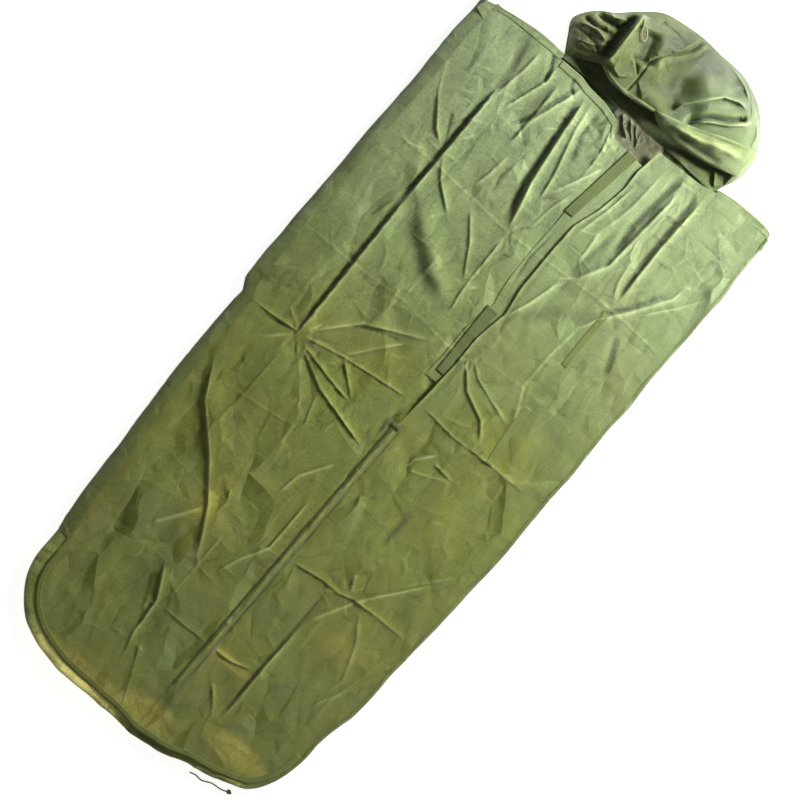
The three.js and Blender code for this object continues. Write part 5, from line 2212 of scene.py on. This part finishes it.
    def _brim(
        self, name: str, lower: Sequence[Place], upper: Sequence[Place], nodes: Sequence[str],
        belly: float,
    ) -> None:
        """A rolled brim, as cloth turned over from its lower to its upper line.

        Args:
            name: The piece's name.
            lower: The roll's edge on the neck's side.
            upper: Its edge on the dome.
            nodes: The CAD nodes that it stands for.
            belly: How far the roll stands out.
        """
        columns, rows = 150, 40
        t = np.linspace(0, 1, columns)
        low, high = (place_on(along_path(line, 0.002), t) for line in (lower, upper))
        turn = np.linspace(0, 2 * math.pi, rows, endpoint=False)
        middle = (low + high) / 2
        half = (high - low) / 2
        taper = np.sin(math.pi * np.clip(t, 0.0, 1.0)) ** 0.35
        across = np.cos(turn)[None, :, None] * half[:, None]
        upward = np.sin(turn)[None, :, None] * np.array([0, 0, 1.0]) * (belly * taper)[:, None, None]
        points = middle[:, None] + across + upward
        points[..., 2] += np.where(np.sin(turn)[None] < 0, 0.45, 0) * (-np.sin(turn))[None] * (
            belly * taper
        )[:, None]
        x, y = points[..., 0], points[..., 1]
        relief = Relief([
            Ripple(121, 0.03, 0.003),
            Crumple(122, 50, (-0.12, 0.83), (0.30, 0.94), 0.07, 0.004, 0.002),
            *folds(
                (P, 10, 9, 0.2, (75, 848), (150, 860), (220, 885), (285, 905)),
                (R, 9, -8, 0.25, (100, 842), (170, 848), (240, 865)),
                (S, 7, -7, 0.25, (120, 872), (180, 893), (250, 918)),
                (P, 7, 5, 0.2, (-100, 846), (-40, 850), (30, 866)),
            ),
        ])
        rise = relief.rise(x, y) * np.clip(np.sin(turn)[None], 0, 1) * taper[:, None]
        points[..., 2] += rise
        points[..., 2] = np.clip(points[..., 2], 0.004, CAD_BOX[1][2] - 0.001)
        run = np.broadcast_to(t[:, None] * 0.27, x.shape)
        girth = np.broadcast_to(turn[None] * 0.02, x.shape)
        quads = quads_of(columns, rows, around=True)
        piece = mesh_of(name, points, quads[:, ::-1])
        give(piece, "cloth", np.stack([girth.ravel(), run.ravel(), 0 * run.ravel()], -1))
        # Painted shade and highlight on the roll's folds, and a low stain value that tints the whole brim
        # toward the pale painted highlight.
        give(piece, "fold", shade_of(rise, 130, 50).ravel())
        give(piece, "stain_and_highlight", np.full(run.size, 0.35))
        self.finishes.fit(piece, self.finishes.hem, "hem_cloth", Body.HOOD, *nodes)
        report(piece, "brim")

    def _seam_tape(self) -> None:
        """Sealing tape inside the hood's seam."""
        share = np.linspace(self.seam_share - 0.012, self.seam_share + 0.012, 5)
        v = np.linspace(0.06, 0.9, 60)
        x, y, z = self._rows(share, v)
        rise = self._relief().rise(x, y)
        top = np.stack([x, y, z + rise - 0.0035], -1)
        piece = slab_piece("seal_hood", top[:, ::-1], 0.0006, np.stack([x, y], -1))
        self.finishes.fit(piece, self.finishes.tape, "seam_tape", Body.HOOD, "hood_seam_tape")
        report(piece, "hood seal")

    def _loop(self) -> None:
        """The small hanging loop on the hood's left half."""
        turn = np.linspace(0, 2 * math.pi, 36, endpoint=False)
        taper = 0.35 + 0.65 * np.abs(np.sin(turn / 2))
        reach, width = 0.019, 0.008
        along = np.array([0.62, -0.78])
        side = np.array([0.78, 0.62])
        centre = np.array([-0.1005, 0.9775])
        plan = (
            centre
            - np.cos(turn)[:, None] * along * reach
            + (np.sin(turn) * taper)[:, None] * side * width
        )
        x, y, z = plan[:, 0], plan[:, 1], np.zeros(36)
        dome = bpy.data.objects["hood_left"].data
        co = np.zeros(len(dome.vertices) * 3)
        dome.vertices.foreach_get("co", co)
        co = co.reshape(-1, 3)
        for k in range(36):
            near = np.hypot(co[:, 0] - x[k], co[:, 1] - y[k]) < 0.005
            z[k] = co[near, 2].max() if near.any() else 0.08
        z = np.minimum(z.max() * 0.5 + z * 0.5 + 0.0025, CAD_BOX[1][2] - 0.002)
        path = np.stack([x, y, z], -1)
        piece = tube_piece("hood_loop_cord", path, 0.0018, 8, closed=True)
        self.finishes.fit(piece, self.finishes.cord, "cord", Body.HOOD, "hood_loop")
        report(piece, "hanging loop")

    def build(self) -> None:
        """Builds the hood."""
        self._half(True)
        self._half(False)
        self._back()
        self._brim(
            "brim_right",
            (
                (0.036, 0.852, 0.046), (0.063, 0.836, 0.044), (0.105, 0.829, 0.042),
                (0.147, 0.832, 0.040), (0.210, 0.842, 0.034), (0.288, 0.866, 0.018),
            ),
            (
                (0.040, 0.856, 0.054), (0.080, 0.866, 0.062), (0.147, 0.887, 0.066),
                (0.206, 0.912, 0.064), (0.262, 0.932, 0.046), (0.291, 0.934, 0.022),
            ),
            ("hood_right_brim",),
            0.016,
        )
        self._brim(
            "brim_left",
            (
                (-0.126, 0.854, 0.048), (-0.088, 0.838, 0.050), (-0.045, 0.836, 0.050),
                (-0.010, 0.840, 0.049), (0.036, 0.849, 0.047),
            ),
            (
                (-0.124, 0.862, 0.054), (-0.086, 0.848, 0.057), (-0.045, 0.846, 0.057),
                (-0.010, 0.850, 0.056), (0.038, 0.857, 0.053),
            ),
            ("hood_left_brim",),
            0.004,
        )
        self._seam_tape()
        self._loop()


# ---- Foot tie ----


@dataclass
class FootTie:
    """The knotted tie at the foot's right corner, with its free end on the ground."""

    finishes: Finishes
    shift: float = -0.000392
    diameter: float = 0.0035
    route: tuple[Place, ...] = (
        (0.3135, -1.0310, 0.0046), (0.3060, -1.0348, 0.0026), (0.2975, -1.0370, 0.0019),
        (0.2885, -1.0378, 0.0019), (0.2795, -1.0386, 0.0019), (0.2705, -1.0412, 0.0019),
        (0.2615, -1.0456, 0.0019), (0.2525, -1.0496, 0.0019), (0.2435, -1.0504, 0.0019),
        (0.2345, -1.0494, 0.0019), (0.2255, -1.0510, 0.0019), (0.2175, -1.0540, 0.0019),
    )

    def build(self) -> None:
        """Builds the cord and its knot."""
        path = along_path(self.route, 0.002) + np.array([0, self.shift, 0])
        cord = tube_piece("tie", path, self.diameter / 2, 10)
        self.finishes.fit(cord, self.finishes.cord, "cord", Body.SACK, "foot_tie_cord")
        low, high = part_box("foot_tie_knot")
        middle = np.array((low + high) / 2)
        turn = np.linspace(0, 2 * math.pi, 72, endpoint=False)
        ring = 0.0036 + 0.0017 * np.cos(3 * turn)
        knot_path = middle + np.stack(
            [ring * np.cos(2 * turn) * 1.05, ring * np.sin(2 * turn) * 0.8, 0.0017 * np.sin(3 * turn)],
            -1,
        )
        knot = tube_piece("tie_knot", knot_path, 0.0018, 8, closed=True)
        self.finishes.fit(knot, self.finishes.cord, "cord", Body.SACK, "foot_tie_knot")
        report(cord, "foot tie")
        report(knot, "knot of the foot tie")


# ---- Studio ----


@dataclass
class Studio:
    """Floor, lights and the camera straight above the sack."""

    middle: Point = (0.023, -0.055)
    turn: float = math.atan2(0.6495, 0.7603)
    frame_width: float = 1.894
    camera_height: float = 5.0
    sack_height: float = 0.03
    floor_reach: float = 6.0
    floor_drop: float = 0.0008

    def camera(self) -> None:
        """Puts the camera straight above, turned so that the hood points up and to the right."""
        data = bpy.data.cameras.new("camera")
        camera = bpy.data.objects.new("camera", data)
        bpy.context.scene.collection.objects.link(camera)
        camera.location = (*self.middle, self.camera_height)
        camera.rotation_euler = (0, 0, self.turn)
        data.sensor_width = 36
        data.lens = data.sensor_width * (self.camera_height - self.sack_height) / self.frame_width
        data.clip_end = 50
        bpy.context.scene.camera = camera

    @staticmethod
    def _lamp(name: str, place: Place, aim: Place, size: float, power: float, color: Color) -> None:
        """A square soft light that shines from a place to an aim.

        Args:
            name: The lamp's name.
            place: Where it stands.
            aim: Where it shines.
            size: The side of its square.
            power: Its power in watts.
            color: Its colour.
        """
        data = bpy.data.lights.new(name, "AREA")
        data.size = size
        data.energy = power
        data.color = color
        lamp = bpy.data.objects.new(name, data)
        bpy.context.scene.collection.objects.link(lamp)
        lamp.location = place
        away = Vector(place) - Vector(aim)
        lamp.rotation_euler = away.to_track_quat("Z", "Y").to_euler()

    def _floor(self) -> None:
        """A plain pale floor that glows a little, as a light table does."""
        reach, drop = self.floor_reach, self.floor_drop
        corners = np.array([(x * reach, y * reach, -drop) for x, y in ((-1, -1), (1, -1), (1, 1), (-1, 1))])
        floor = mesh_of("floor", corners, np.array([[0, 1, 2, 3]]))
        recipe = Recipe("floor_white")
        sockets = {
            "Base Color": (0.86, 0.86, 0.86, 1), "Roughness": 0.9, "Emission Color": (1, 1, 1, 1),
            "Emission Strength": 0.75,
        }
        floor.data.materials.append(recipe.finish(recipe.make("ShaderNodeBsdfPrincipled", {}, sockets)))

    def build(self) -> None:
        """Sets up the floor, the light and the world."""
        self._floor()
        aim = (0.0, 0.15, 0.0)
        self._lamp("key", (1.4, 2.15, 1.2), aim, 0.7, 200, (1.0, 1.0, 0.95))
        self._lamp("fill", (-0.2, -0.9, 3.4), (0, -0.3, 0), 2.2, 14, (1.0, 0.97, 0.88))
        world = bpy.data.worlds.new("studio")
        world.use_nodes = True
        background = world.node_tree.nodes["Background"]
        background.inputs["Color"].default_value = (1.0, 1.0, 0.96, 1)
        background.inputs["Strength"].default_value = 0.16
        bpy.context.scene.world = world
        bpy.context.scene.view_settings.view_transform = "Standard"


def main() -> None:
    """Builds the studio and every part of the sack."""
    logging.basicConfig(level=logging.INFO, format="%(name)s %(message)s")
    studio = Studio()
    studio.camera()
    finishes = Finishes()
    FootTie(finishes).build()
    front = FrontCloth(finishes)
    Walls(finishes, front).build()
    front.build()
    Trim(finishes, front).build()
    Neck(finishes, front).build()
    Hood(finishes).build()
    studio.build()


if __name__ == "__main__":
    main()
